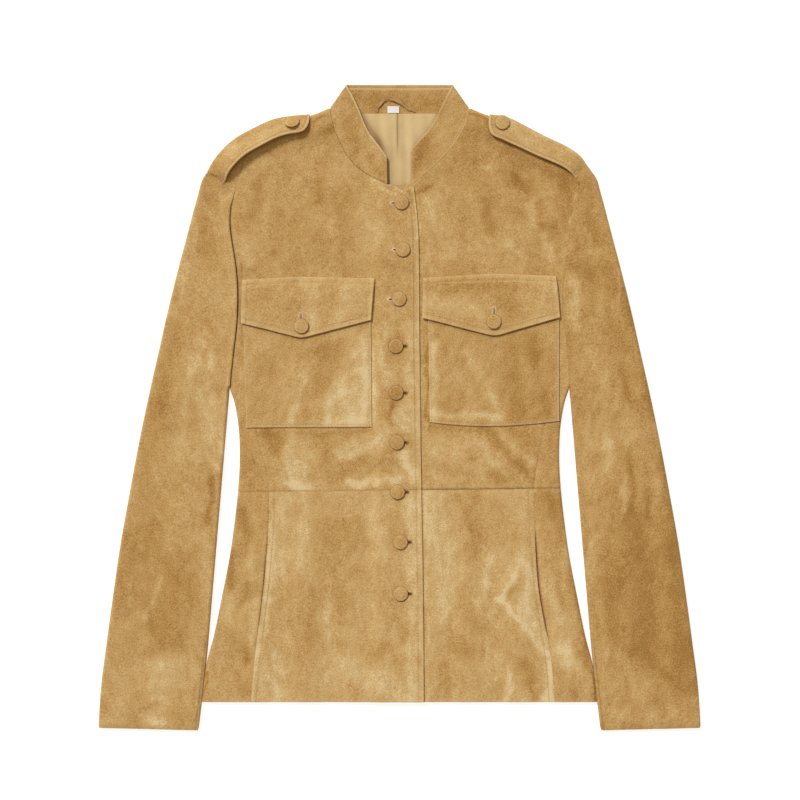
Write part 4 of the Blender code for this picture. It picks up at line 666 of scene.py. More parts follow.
def surface(points, layer, swell=flat_swell):
    """Outer points and outward directions of the top or back layer over plan points."""
    depth, inward = nearest(points, EDGE_START, EDGE_STEP)
    radius = ROLL + swell(points)
    height = middle(points) + layer * (LAYER_SPLIT / 2 + radius * roll_height(depth))
    steep = (radius * roll_slope(depth))[..., None] * inward
    slope = gradient(middle, points)
    slope += layer * (steep + gradient(swell, points) * roll_height(depth)[..., None])
    normal = unit(layer * np.concatenate([-slope, np.ones(slope.shape[:-1] + (1,))], axis=-1))
    return np.concatenate([points, height[..., None]], axis=-1), normal


# ---- grids of points

def patch(bottom, top, left, right):
    """Grid (rows up, columns across) inside four lines of points that share their corners."""
    bottom, top, left, right = (np.array(line, float) for line in (bottom, top, left, right))
    u = ((arc(bottom) + arc(top)) / (arc(bottom)[-1] + arc(top)[-1]))[None, :, None]
    v = ((arc(left) + arc(right)) / (arc(left)[-1] + arc(right)[-1]))[:, None, None]
    corners = ((1 - u) * (1 - v) * bottom[0] + u * (1 - v) * bottom[-1]
               + (1 - u) * v * top[0] + u * v * top[-1])
    return (1 - v) * bottom + v * top + (1 - u) * left[:, None] + u * right[:, None] - corners


def fill(bottom, top, left, right, near, step=STEP):
    """Fine grid inside four lines; near has the distances kept beside each of them."""
    near_bottom, near_top, near_left, near_right = near
    across = count_for(step, near_left, near_right, bottom, top)
    up = count_for(step, near_bottom, near_top, left, right)
    bottom, top = (spaced(line, across, near_left, near_right) for line in (bottom, top))
    left, right = (spaced(line, up, near_bottom, near_top) for line in (left, right))
    return patch(bottom, top, left, right)


def inset(grid, bottom=0.0, top=0.0, left=0.0, right=0.0):
    """Draw a grid's borders in, by half a seam's gap or by a hair on a folded edge."""
    grid = grid.copy()
    for lines, low, high in ((grid, bottom, top), (grid.swapaxes(0, 1), left, right)):
        for edge, inner, amount in ((0, 1, low), (-1, -2, high)):
            lines[edge] += np.reshape(amount, (-1, 1)) * unit(lines[inner] - lines[edge])
    return grid


def spans(grid, axis):
    """Distances between neighbouring points along the rows or the columns of a grid."""
    return np.linalg.norm(np.diff(grid, axis=axis), axis=2)


def border_distances(grid):
    """Distance of every point from the four borders, along its row or its column."""
    left, bottom = (np.insert(spans(grid, axis).cumsum(axis), 0, 0.0, axis) for axis in (1, 0))
    return {"left": left, "right": left[:, -1:] - left, "bottom": bottom, "top": bottom[-1:] - bottom}


# ---- cloth shells

def across_border(name, weight):
    """A border's weights along its length, shaped to multiply a grid."""
    weight = np.asarray(weight, float)
    if weight.ndim and name in ("left", "right"):
        return weight[:, None]
    return weight


def sewn(deep, stitched=0.0):
    """A border that is a seam: how clearly it shows, and where a line is stitched beside it."""
    return deep, 0.0, stitched


def turned(stitched=0.0):
    """A border that is a turned edge, with a line stitched at a distance from it."""
    return 0.0, 1.0, stitched


def sewing_relief(grid, borders, away=None):
    """Height, shade and light that seams, turned edges and stitched lines give a sheet.

    Each border has the shares of seam and turned edge and the distance of its stitched line."""
    away = away or border_distances(grid)
    height, shade, light = (np.zeros(grid.shape[:2]) for _ in range(3))
    for name, (seam, edge, stitched) in borders.items():
        distance = away[name]
        run = away["bottom" if name in ("left", "right") else "left"]
        seam, edge = across_border(name, seam), across_border(name, edge)
        low = np.minimum(seam, SEAM_MOST)
        uneven = 1 + 0.22 * np.sin(run / 11.0 + 0.8) + 0.16 * np.sin(run / 4.3 + np.sin(run / 17.0))
        height -= low * SEAM_DIP * uneven * bell(distance, SEAM_WIDTH)
        wave = np.sin(run / 2.1 + 1.7 * np.sin(run / 9.0)) + 0.6 * np.sin(run / 4.7 + 0.5)
        beside = np.exp(-distance / PUCKER_REACH) * (1 - bell(distance, PUCKER_CLEAR))
        height += low * PUCKER_HEIGHT * beside * wave
        within = np.clip(1 - distance / TURN_RADIUS, 0.0, 1.0)
        height -= edge * TURN_RADIUS * (1 - np.sqrt(1 - within**2))
        shade += seam * uneven * bell(distance, SEAM_DARK[0] + SEAM_DARK[1] * seam)
        shade += DEEP_SHADE * np.maximum(seam - 1.0, 0.0) * bell(distance, DEEP_WIDTH)
        light += TURN_LIGHT * edge * uneven * bell(distance - TURN_LIGHT_AT, TURN_LIGHT_AT)
        light += SEAM_LIGHT * seam * bell(distance - SEAM_LIGHT_AT, SEAM_LIGHT_WIDTH)
        if stitched:
            groove = bell(distance - stitched, STITCH_WIDTH)
            height -= STITCH_DIP * groove
            clear = STRAP_CLEAR if name == "outline" else 1.0
            shade += STITCH_SHADE * clear * groove
            light += STITCH_LIGHT * clear * edge * bell(distance - stitched - 1.5, 0.8)
            light += TURNED_LIGHT * clear * edge * uneven * smoothstep((stitched - 0.6 - distance) / 1.2)
    return height, shade, light


def nap_and_painted_shade(plan, tag):
    """Share by which the nap is brushed light or dark, with strokes of painted shade and painted highlight.
    """
    warped = plan + np.stack([waves(plan, WARP), waves(plan + WARP_APART, WARP)], axis=-1)
    return strokes(warped, NAP_AND_SHADE_STROKES.get(tag, ()))


def add_object(name, verts, faces, skin, smooth_degrees=55.0):
    mesh = bpy.data.meshes.new(name)
    mesh.from_pydata((np.asarray(verts) * MM).tolist(), [], faces)
    mesh.materials.append(skin)
    mesh.shade_smooth()
    mesh.set_sharp_from_angle(angle=math.radians(smooth_degrees))
    made = bpy.data.objects.new(name, mesh)
    bpy.context.scene.collection.objects.link(made)
    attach(made, "root")
    return made


def set_values(made, **values):
    """Store one number for each vertex under each name."""
    for name, numbers in values.items():
        layer = made.data.attributes.new(name, "FLOAT", "POINT")
        layer.data.foreach_set("value", np.asarray(numbers, np.float32).ravel())


def wall_faces(rows, columns, flipped):
    """Quads of two sheets of points and of the rim between them."""
    index = np.arange(rows * columns).reshape(rows, columns)
    quads = np.stack([index[:-1, :-1], index[:-1, 1:], index[1:, 1:], index[1:, :-1]], axis=-1)
    quads = quads.reshape(-1, 4)
    inner = quads[:, ::-1] + rows * columns
    rim = np.concatenate([index[0, :], index[1:, -1], index[-1, -2::-1], index[-2:0:-1, 0]])
    following = np.roll(rim, -1)
    border = np.stack([following, rim, rim + rows * columns, following + rows * columns], axis=-1)
    faces = np.concatenate([quads, inner, border])
    return (faces[:, ::-1] if flipped else faces).tolist()


def faces_outwards(outer, normal):
    """True where a grid's quads turn the same way as its outward directions."""
    r, c = outer.shape[0] // 2, outer.shape[1] // 2
    across = outer[r, c + 1] - outer[r, c]
    up = outer[r + 1, c] - outer[r, c]
    return np.dot(np.cross(across, up), normal[r, c]) > 0


def shell(name, outer, inner, skin, nap=0.0, shade=0.0, light=0.0):
    """Closed shell between two grids of points, with its nap (strokes of painted shade among it), shade and
    light.
    """
    rows, columns = outer.shape[:2]
    flipped = not faces_outwards(outer, outer - inner)
    verts = np.concatenate([outer.reshape(-1, 3), inner.reshape(-1, 3)])
    made = add_object(name, verts, wall_faces(rows, columns, flipped), skin)
    fields = {"nap": nap, "shade": shade, "light": light}
    set_values(made, **{key: np.tile(np.broadcast_to(field, (rows, columns)).ravel(), 2)
                        for key, field in fields.items()})
    return made


def declare(node):
    """The piece stands for its solid, which is hidden."""
    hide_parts(node)


def panel(node, grid, side, borders, tag, skin, layer=TOP, swell=None, lift=0.0,
          thickness=WALL, shadow=0.0, groove=0.0):
    """Fine shell of a panel; returns its outer points and directions."""
    plan = mirrored(grid, side)
    outer, normal = surface(plan, layer, swell or front_swell(side))
    height, shade, light = sewing_relief(grid, borders)
    height -= GROOVE_DIP * groove
    shade += GROOVE_SHADE * groove + shadow
    if layer == BACK:
        height = np.minimum(height, 0.0)
    inner = outer + normal * (np.zeros_like(height) + lift - thickness)[..., None]
    outer = outer + normal * (lift + height)[..., None]
    made = shell(node + "_cloth", outer, inner, skin, nap_and_painted_shade(plan, tag), shade, light)
    declare(node)
    return outer, normal


# ---- stitches

THREADS = {}


def around(sides):
    """Turns of evenly spaced points on a circle."""
    return [2 * math.pi * k / sides for k in range(sides)]


def tube_faces(rings, sides, start=0):
    """Quads around rings of points and a cap at each end."""
    faces = []
    for low in range(start, start + (rings - 1) * sides, sides):
        for k in range(sides):
            m = (k + 1) % sides
            faces.append((low + k, low + m, low + sides + m, low + sides + k))
    faces.append(tuple(range(start + sides - 1, start - 1, -1)))
    faces.append(tuple(range(start + (rings - 1) * sides, start + rings * sides)))
    return faces


def sew(group, outer, normal, border, near, at, first=0, last=None):
    """Keep a stitched line: the grid's row or column that lies at a distance from a border."""
    index = near.index(at)
    run = slice(first, last)
    chosen = {"left": (run, index), "right": (run, -1 - index),
              "bottom": (index, run), "top": (-1 - index, run)}[border]
    THREADS.setdefault(group, []).append((outer[chosen], normal[chosen]))


def stitch_mesh(name, lines, skin, pitch=STITCH_PITCH, length=STITCH_LENGTH, radius=STITCH_RADIUS):
    """Small rounded beads of thread laid end to end along lines of points."""
    verts, faces = [], []
    for points, normals in lines:
        at = arc(points)
        middles = np.arange(pitch / 2, at[-1], pitch)
        if not len(middles):
            continue
        centre = along(points, middles)
        ahead = along(points, middles + 0.3) - centre
        ahead /= np.maximum(np.linalg.norm(ahead, axis=1, keepdims=True), 1e-9)
        up = along(normals, middles, at)
        for place, r, a, u in zip(centre, ahead, unit(np.cross(up, ahead)), up):
            faces += tube_faces(len(BEAD), BEAD_SIDES, len(verts))
            for share, size in BEAD:
                for turn in around(BEAD_SIDES):
                    verts.append(place + r * share * length + a * radius * size * math.cos(turn)
                                 + u * (radius * size * math.sin(turn) + STITCH_STAND))
    made = add_object(name, verts, faces, skin)


# ---- seams shared by the panels

def split_at_waist(line, side):
    """Upper and lower part of a line that runs down, with a shared point on the waist seam."""
    above = line[:, 1] - waist(line[:, 0], side)[1]
    shared = waist(np.interp(0.0, -above, line[:, 0]), side)
    upper = line[above > EDGE_INSET]
    lower = line[above < -EDGE_INSET]
    return np.vstack([upper, shared]), np.vstack([shared, lower])


def armhole(side):
    """Seam line from the shoulder to the armpit."""
    return spline([shoulder(side)[FRONT_SPLIT[side]]] + column(ARMHOLE, side) + [ARMPIT])


def back_armhole(side):
    return spline([shoulder(side)[BACK_SPLIT]] + BACK_ARMHOLE)


def princess_upper(side):
    """Seam up from the waist to the armhole."""
    start = waist(PRINCESS_WAIST[side], side)
    end = armhole(side)[(PRINCESS_END + 1) * PER_SPAN]
    return spline([start] + column(PRINCESS_UPPER, side) + [tuple(end)])


def princess_lower(side):
    """Seam up from the hem to the waist."""
    return spline(column(PRINCESS_LOWER, side)[::-1] + [waist(PRINCESS_WAIST[side], side)])


def front_edge(side):
    """The parts of a front's free edge above and below the waist, both running down."""
    return split_at_waist(spline(column(FRONT_EDGE, side)), side)


def body_side(side):
    """The parts of the body's side edge above and below the waist, both running down."""
    return split_at_waist(spline(BODY_SIDE), side)


def waist_line(start, end, side):
    return [waist(start, side), waist(end, side)]


# ---- panels of the fronts

def armhole_deep(side, y):
    """How clearly the armhole seam shows, in relief and in painted shade: it is soft at the shoulder."""
    share = smoothstep((ARMHOLE_SOFT_Y - y) / (ARMHOLE_SOFT_Y - ARMHOLE_FULL_Y))
    return ARMHOLE_DEEP[side] * (ARMHOLE_SOFT + (1 - ARMHOLE_SOFT) * share)


def front_upper(side, skin):
    edge = front_edge(side)[0][::-1]
    princess = princess_upper(side)
    seam = armhole(side)[(PRINCESS_END + 1) * PER_SPAN - 1::-1]
    neck = spline([row[:2] for row in COLLAR[side]])
    over = spline(shoulder(side))[1:FRONT_SPLIT[side] * PER_SPAN + 1]
    start = np.vstack([edge[-1:], [(0.0, (FRONT_TOP_Y + neck[0][1]) / 2)], neck])
    bottom = waist_line(edge[0][0], PRINCESS_WAIST[side], side)
    grid = fill(bottom, np.vstack([start, over]), edge, np.vstack([princess, seam]),
                (NEAR_SEAM, NEAR_SEAM, NEAR_EDGE, NEAR_SEAM))
    is_neck = arc(grid[-1]) < arc(start)[-1]
    is_princess = arc(grid[:, -1]) < arc(princess)[-1]
    grid = inset(grid, bottom=WAIST_SEAM[side], top=np.where(is_neck, SEAM, EDGE_INSET),
                 right=np.where(is_princess, CLOSED, ARMHOLE_SEAM))
    y = grid[:, -1, 1]
    borders = {"bottom": sewn(WAIST_DEEP[side]),
               "right": sewn(np.where(is_princess, princess_deep(y), armhole_deep(side, y))),
               "top": sewn(is_neck * NECK_DEEP[side]), "left": turned(STITCHED_AT)}
    outer, normal = panel(f"front_{WORD[side]}_upper", grid, side, borders, "upper", skin,
                          shadow=strap_shadow(grid, side))
    if side == RIGHT:
        sew("stitching_fronts", outer, normal, "left", NEAR_EDGE, STITCHED_AT)


def princess_deep(y):
    """How clearly the upper princess seam shows: hardly at all above the pocket's bottom."""
    return PRINCESS_DEEP * smoothstep((PRINCESS_SOFT_Y - y) / PRINCESS_SOFT_LENGTH)


def front_side_upper(side, skin):
    left, right = princess_upper(side), body_side(side)[0][::-1]
    top = armhole(side)[(PRINCESS_END + 1) * PER_SPAN:]
    grid = fill([left[0], right[0]], top, left, right, (NEAR_SEAM, NEAR_ROLL, NEAR_SEAM, NEAR_ROLL))
    grid = inset(grid, bottom=CLOSED, top=ARMHOLE_SEAM, left=CLOSED, right=EDGE_INSET)
    borders = {"bottom": sewn(WAIST_DEEP[side]), "top": sewn(ARMHOLE_DEEP[side]),
               "left": sewn(princess_deep(grid[:, 0, 1]))}
    panel(f"front_{WORD[side]}_side_upper", grid, side, borders, "side", skin)


def slit_deep(y):
    """How clearly the lower princess seam shows: most along the pocket opening in it."""
    low, high = SLIT_BOTTOM_Y - SLIT_BEYOND, SLIT_TOP_Y + SLIT_BEYOND
    share = np.clip((y - low) / (high - low), 0.0, 1.0)
    return SLIT_LEAST + (SLIT_DEEP - SLIT_LEAST) * np.clip(4 * share * (1 - share), 0.0, 1.0)


def front_lower(side, skin):
    right = princess_lower(side)
    edge = front_edge(side)[1][::-1]
    hem = [(edge[0][0], HEM_Y), (right[0][0], HEM_Y)]
    top = waist_line(edge[-1][0], PRINCESS_WAIST[side], side)
    grid = fill(hem, top, edge, right, (NEAR_PLAIN, NEAR_SEAM, NEAR_EDGE, NEAR_SEAM))
    y = grid[:, -1, 1]
    share = (y - SLIT_BOTTOM_Y) / (SLIT_TOP_Y - SLIT_BOTTOM_Y)
    opening = np.clip(4 * share * (1 - share), 0.0, 1.0)**SLIT_POWER
    opening = CLOSED + (SLIT_OPENING[side] - CLOSED) * opening
    grid = inset(grid, top=WAIST_SEAM[side])
    for index, distance in enumerate(NEAR_SEAM[:SLIT_COLUMNS], 1):
        inwards = unit(grid[:, -1 - index] - grid[:, -index])
        grid[:, -index] += inwards * (opening * (1 - distance / NEAR_SEAM[-1] * SLIT_FADE))[:, None]
    borders = {"bottom": turned(), "top": sewn(WAIST_DEEP[side]), "left": turned(STITCHED_AT),
               "right": sewn(slit_deep(y), STITCHED_AT)}
    outer, normal = panel(f"front_{WORD[side]}_lower", grid, side, borders, "lower", skin)
    if side == RIGHT:
        sew("stitching_fronts", outer, normal, "left", NEAR_EDGE, STITCHED_AT)
    sew("stitching_fronts", outer, normal, "right", NEAR_SEAM, STITCHED_AT)


def front_side_lower(side, skin):
    left, right = princess_lower(side), body_side(side)[1][::-1]
    grid = fill([left[0], right[0]], [left[-1], right[-1]], left, right,
                (NEAR_PLAIN, NEAR_SEAM, NEAR_SEAM, NEAR_ROLL))
    grid = inset(grid, top=CLOSED, left=CLOSED, right=EDGE_INSET)
    borders = {"bottom": turned(), "top": sewn(WAIST_DEEP[side]), "left": sewn(slit_deep(grid[:, 0, 1]))}
    panel(f"front_{WORD[side]}_side_lower", grid, side, borders, "side", skin)


# ---- back

def back_upper(skin):
    edges, overs, is_seam = [], [], []
    for side in (RIGHT, LEFT):
        edge = body_side(side)[0][::-1]
        edges.append(mirrored(np.vstack([edge, back_armhole(side)[::-1][1:]]), side))
        overs.append(mirrored(spline(shoulder(side))[:BACK_SPLIT * PER_SPAN + 1], side))
        is_seam.append(arc(edge)[-1])
    neck = spline(BACK_NECK)
    neck = np.vstack([mirrored(neck, RIGHT), mirrored(neck[::-1][1:], LEFT)])
    top = np.vstack([overs[0][::-1], neck[1:], overs[1][1:]])
    grid = fill([edges[0][0], edges[1][0]], top, *edges, (NEAR_SEAM, NEAR_ROLL, NEAR_ROLL, NEAR_ROLL),
                BACK_STEP)
    at = arc(grid[-1])
    is_neck = (at > arc(overs[0])[-1]) & (at < at[-1] - arc(overs[1])[-1])
    right, left = (arc(grid[:, index]) > is_seam[index] for index in (0, -1))
    grid = inset(grid, SEAM, *(np.where(seam, SEAM, EDGE_INSET) for seam in (is_neck, right, left)))
    borders = {"bottom": sewn(1.0), "top": sewn(is_neck * 1.0), "left": sewn(right * 1.0),
               "right": sewn(left * 1.0)}
    panel("back_upper", grid, LEFT, borders, "back", skin, BACK, back_swell)


def back_lower(skin):
    edges = [mirrored(body_side(side)[1][::-1], side) for side in (RIGHT, LEFT)]
    grid = fill(*zip(*(edge[[0, -1]] for edge in edges)), *edges,
                (NEAR_PLAIN, NEAR_SEAM, NEAR_ROLL, NEAR_ROLL), BACK_STEP)
    grid = inset(grid, top=SEAM, left=EDGE_INSET, right=EDGE_INSET)
    borders = {"bottom": turned(), "top": sewn(1.0)}
    panel("back_lower", grid, LEFT, borders, "back", skin, BACK, back_swell)


# ---- sleeves

def sleeve(side, layer, skin):
    front = layer == TOP
    split, seam = (FRONT_SPLIT[side], armhole(side)) if front else (BACK_SPLIT, back_armhole(side))
    step = STEP if front else BACK_STEP
    inner_line = spline(SLEEVE_INNER)[::-1]
    lower = spaced(inner_line, round(arc(inner_line)[-1] / step), end=NEAR_ROLL)
    upper = spaced(seam[::-1], round(arc(seam)[-1] / step), start=NEAR_ROLL, end=NEAR_HEAD + (ROLL,))
    inner = np.vstack([lower, upper[1:]])
    outer_line = spline(shoulder(side)[split:] + SLEEVE_OUTER)
    rest = np.linspace(ROLL, arc(outer_line)[-1], len(inner) - len(NEAR_HEAD))
    outer_edge = along(outer_line, np.concatenate([NEAR_HEAD, rest]))[::-1]
    across = round(np.linalg.norm(inner[0] - outer_edge[0]) / step)
    cuff = spaced([inner[0], outer_edge[0]], across, start=NEAR_INSIDE, end=NEAR_ROLL)
    head = spaced([inner[-1], outer_edge[-1]], len(cuff) - 1)
    is_seam = np.arange(len(inner)) >= len(lower)
    grid = patch(cuff, head, inner, outer_edge)
    drawn_in = np.where(is_seam, ARMHOLE_SEAM if front else SEAM, EDGE_INSET)
    grid = inset(grid, top=SEAM, left=drawn_in, right=EDGE_INSET)
    node, borders = f"sleeve_{WORD[side]}_", {"left": sewn(is_seam * 1.0), "bottom": turned()}
    if not front:
        panel(node + "under", grid, side, borders, "back", skin, BACK, back_swell)
        return
    y = grid[:, 0, 1]
    borders["left"] = sewn(is_seam * (SLEEVE_DEEP * armhole_deep(side, y)))
    faded = 1 - smoothstep((y - INNER_SEAM_FULL_Y) / (INNER_SEAM_END_Y - INNER_SEAM_FULL_Y))
    away = border_distances(grid)["left"]
    groove = (faded * ~is_seam)[:, None] * bell(away - INNER_SEAM_AT, GROOVE_WIDTH)
    panel(node + "top", grid, side, borders, "sleeve", skin,
          swell=sleeve_swell(side), shadow=strap_shadow(grid, side), groove=groove)


# ---- collar

def collar_half(side):
    """Outer points, directions and plan of half the collar, from its end to the centre back."""
    stations = np.array(COLLAR[side])
    front = np.hstack([spline(part, COLLAR_PER_SPAN) for part in (stations[:, :2], stations[:, 2:])])
    at = arc(front[:, :2])
    marks = [mark for mark in at if mark < at[-1] - ROLL - 1.0]
    front = along(front, marks + [at[-1] - distance for distance in NEAR_ROLL[::-1]], at)
    back_base = spaced(spline(BACK_NECK), COLLAR_BACK_COUNT, start=NEAR_ROLL)[1:]
    corner, centre = stations[-1, 2:], np.array((0.0, COLLAR_TOP_Y))
    shares = arc(np.vstack([BACK_NECK[0], back_base]))[1:, None]
    back_top = corner + shares / shares[-1] * (centre - corner)
    sections = [(row[:2], row[2:], TOP) for row in front]
    sections[-1] = (*sections[-1][:2], FOLD)
    sections += [(base, top, BACK) for base, top in zip(back_base, back_top)]
    rows = []
    for base, top, layer in sections:
        base = base + COLLAR_SEAM[side] * (top - base) / np.linalg.norm(top - base)
        plan = mirrored(spaced([base, top], COLLAR_ACROSS, NEAR_COLLAR_BASE, NEAR_COLLAR_TOP), side)
        if layer == FOLD:
            fold = mirrored(top - base, side)
            outward = np.array([fold[1], -fold[0]]) * side / np.linalg.norm(fold)
            outer = np.concatenate([plan, middle(plan)[:, None]], axis=1)
            normal = np.tile([*outward, 0.0], (len(plan), 1))
        else:
            outer, normal = surface(plan, layer, front_swell(side) if layer == TOP else flat_swell)
        rows.append((outer, normal, plan))
    return zip(*rows)


def collar(skin):
    halves = zip(collar_half(RIGHT), collar_half(LEFT))
    outer, normal, plan = (np.array(right + left[-2::-1]) for right, left in halves)
    is_left = np.arange(len(outer)) > len(outer) // 2
    borders = {"left": (np.where(is_left, NECK_DEEP[LEFT], NECK_DEEP[RIGHT]), is_left * 1.0, 0.0),
               "right": turned(COLLAR_STITCHED_AT), "bottom": turned(), "top": turned()}
    away = border_distances(outer)
    height, shade, light = sewing_relief(outer, borders, away)
    in_front, behind = normal[..., 2] > 0.2, normal[..., 2] < -0.2
    edge_lights = [(1.6 * is_left[:, None], in_front, "left", 0.5, 0.8),
                   (np.where(is_left, 0.3, 1.0)[:, None], in_front, "right", 1.8, 0.8),
                   (1.4, behind, "right", 3.9, 0.7)]
    for share, shown, border, at, width in edge_lights:
        light += share * shown * bell(away[border] - at, width)
    height, behind = height[..., None], behind[..., None]
    inner = outer - normal * (WALL + np.where(behind, height, 0.0))
    outer = outer + normal * np.where(behind, np.minimum(height, 0.0), height)
    made = shell("collar_cloth", outer, inner, skin, nap_and_painted_shade(plan, "collar"), shade, light)
    declare("collar")
    at = -1 - NEAR_COLLAR_TOP.index(COLLAR_STITCHED_AT)
    count = in_front[:len(outer) // 2, at].sum()
    inside = slice(count + len(NEAR_ROLL), -count - len(NEAR_ROLL))
    THREADS["stitching_collar"] = [(outer[:count, at], normal[:count, at]),
                                   (outer[-count:, at], normal[-count:, at]),
                                   (inner[inside, at], -normal[inside, at])]


# ---- pockets and flaps

def pocket(side, skin):
    bottom, top = spline(POCKET_BOTTOM[side]), np.array(POCKET_TOP[side])
    grid = fill(bottom, top, [bottom[0], top[0]], [bottom[-1], top[-1]], [NEAR_POCKET] * 4, POCKET_STEP)
    borders = dict.fromkeys(("left", "right", "bottom"), turned(POCKET_STITCHED_AT))
    outer, normal = panel(f"pocket_{WORD[side]}", grid, side, borders, "pocket", skin,
                          lift=SEAM_GAP + POCKET_WALL,
                          thickness=POCKET_WALL + POCKET_SUNK,
                          shadow=edge_shadow(grid, side, mirrored(FLAP_BOTTOM[side], side)))
    index = NEAR_POCKET.index(POCKET_STITCHED_AT)
    for border in borders:
        last = -index if border == "bottom" else None
        sew("stitching_pockets", outer, normal, border, NEAR_POCKET, POCKET_STITCHED_AT, index, last)


def flap_lift(below_top, share):
    """Height of a flap's outer face over the front: it bends over the pocket and stands off."""
    over_pocket = (POCKET_WALL + SEAM_GAP) * smoothstep(below_top / FLAP_BEND)
    return SEAM_GAP + FLAP_WALL + over_pocket + FLAP_STAND_OFF * share**2


def pointed(line):
    """A flap's three-point edge with a softly rounded middle, from its inner to its outer end."""
    first, point, last = (np.array(each, float) for each in line)
    start, end = (point + (each - point) * FLAP_POINT_SOFT / np.linalg.norm(each - point)
                  for each in (first, last))
    t = np.linspace(0.0, 1.0, 7)[:, None]
    curve = (1 - t)**2 * start + 2 * t * (1 - t) * point + t**2 * end
    return np.vstack([first, curve, last])


def flap(side, skin):
    bottom, top = pointed(FLAP_BOTTOM[side]), pointed(FLAP_TOP[side])
    grid = fill(bottom, top, [bottom[0], top[0]], [bottom[-1], top[-1]], [NEAR_EDGE] * 4, POCKET_STEP)
    below_top = border_distances(grid)["top"]
    borders = dict.fromkeys(("bottom", "top", "left", "right"), turned(STITCHED_AT))
    outer, normal = panel(f"flap_{WORD[side]}", grid, side, borders, "flap", skin,
                          thickness=FLAP_WALL,
                          lift=flap_lift(below_top, below_top / below_top[:1]))
    index = NEAR_EDGE.index(STITCHED_AT)
    for border in borders:
        sew("stitching_pockets", outer, normal, border, NEAR_EDGE, STITCHED_AT, index, -index)


# ---- shoulder straps

def strap_section(side, share, down):
    """Section of a strap as rows (inward, turn, run): back part, roll, and the front's slope."""
    angle = math.radians(STRAP_ANGLE[side]) * (1 - down)
    front = np.interp(share, STRAP_SHARES, STRAP_FRONTS[side])
    turn = math.pi - angle
    back = STRAP_WIDTH - front - turn * (STRAP_RADIUS + STRAP_WALL / 2)
    near_back, near_front = np.array(NEAR_PLAIN), np.array(NEAR_STRAP[::-1])
    plain_backs = np.linspace(back - near_back[-1], 0.0, STRAP_SPANS + 1)[1:-1]
    plain_runs = np.linspace(0.0, front - near_front[0], STRAP_SPANS + 1)[1:-1]
    section = [(each, -math.pi / 2, 0.0) for each in (*(back - near_back), *plain_backs)]
    section += [(0.0, -math.pi / 2 + turn * step / STRAP_TURNS, 0.0) for step in range(STRAP_TURNS + 1)]
    return section + [(0.0, math.pi / 2 - angle, run) for run in (*plain_runs, *(front - near_front))]


def strap_points(side, share, radius, down):
    """Inward distance from the roll's centre, height over it, and place across the strap."""
    back, turn, run = np.array(strap_section(side, share, down)).T
    inward = back - radius * np.cos(turn) + run * np.sin(turn)
    up = radius * np.sin(turn) + run * np.cos(turn)
    travelled = arc(np.stack([inward, up], axis=1))
    return np.stack([inward, up, 2 * travelled / travelled[-1] - 1], axis=1)


def strap_ridge(side):
    """Fine line of the strap's ridge with smoothly turning directions inwards."""
    last = STRAP_LAST[side]
    line = mirrored(spline(shoulder(side))[STRAP_FIRST * PER_SPAN:last * PER_SPAN + 1], side)
    line = spaced(line, round(arc(line)[-1] / STRAP_STEP), start=NEAR_STRAP, end=NEAR_SEAM)
    at = arc(line)
    weight = bell(at[:, None] - at, STRAP_TURN_LENGTH[side]) * np.gradient(at)
    run = unit(weight @ np.gradient(line, at, axis=0))
    return line, np.stack([-run[:, 1], run[:, 0]], axis=1) * -side


def strap_grid(side, radius, end_radius):
    """Points of a strap's outer or inner face; its sewn end comes down to the shoulder."""
    line, inwards = strap_ridge(side)
    at = arc(line)
    from_tip = (line[1] - line[0]) / at[1]
    swell = front_swell(side) if side == LEFT else sleeve_swell(side)
    rows = []
    for point, inward, distance in zip(line, inwards, at):
        down = smoothstep(1 - (at[-1] - distance) / STRAP_END_LENGTH)
        section = strap_points(side, distance / at[-1], radius + (end_radius - radius) * down, down)
        bulge = 1 - (1 - np.abs(section[:, 2])**STRAP_TIP_POWER)**(1 / STRAP_TIP_POWER)
        back_off = STRAP_DEPTH[side] * bulge * max(1 - distance / STRAP_TIP_LENGTH, 0.0)
        plan = point + back_off[:, None] * from_tip + ROLL * inward + section[:, :1] * inward
        height = (1 - down) * middle(point[None])[0] + down * middle(plan) + section[:, 1]
        if down > 0:
            height += down * swell(plan) * np.clip(section[:, 1] / radius, 0.0, 1.0)
        rows.append(np.concatenate([plan, height[:, None]], axis=1))
    from_ends = np.minimum(at, at[-1] - at)
    width = np.maximum(STRAP_SMOOTH * smoothstep(from_ends / STRAP_SMOOTH_FROM), 0.01)
    weight = bell(at[:, None] - at, width[:, None]) * np.gradient(at)
    weight /= weight.sum(axis=1, keepdims=True)
    return np.einsum("ij,jkl->ikl", weight, np.array(rows))


def edge_shadow(grid, side, line):
    """Dark line that an edge above leaves on the cloth below it."""
    distance = line_distance(mirrored(grid, side), line)
    return sum(dark * bell(distance, reach) for dark, reach in EDGE_SHADOW)


def strap_shadow(grid, side):
    """Dark line under the strap's tip and front edge."""
    strap_face = strap_grid(side, STRAP_RADIUS + STRAP_WALL, STRAP_RADIUS + STRAP_WALL)
    tip = strap_face[0, len(NEAR_PLAIN) + STRAP_SPANS + STRAP_TURNS:]
    return edge_shadow(grid, side, np.vstack([tip, strap_face[1:, -1]])[:, :2])


def first_past(distances, at):
    """Index, with its share, at which a run of distances first passes a value."""
    index = int(np.argmax(distances > at))
    before, after = distances[index - 1], distances[index]
    return index - 1 + (at - before) / (after - before)


def between(points, place):
    """Point of a line at an index with its share."""
    low = int(place)
    return points[low] + (place - low) * (points[low + 1] - points[low])


def inside_line(grid, distances, at, first_column, last_row):
    """Line at one distance inside a grid's first row and last column."""
    line = []
    for index in range(first_column, grid.shape[1]):
        place = first_past(distances[:, index], at)
        if not 0 < place < last_row:
            break
        line.append(between(grid[:, index], place))
    for row in range(last_row, len(grid)):
        line.append(between(grid[row, ::-1], first_past(distances[row, ::-1], at)))
    return np.array(line)


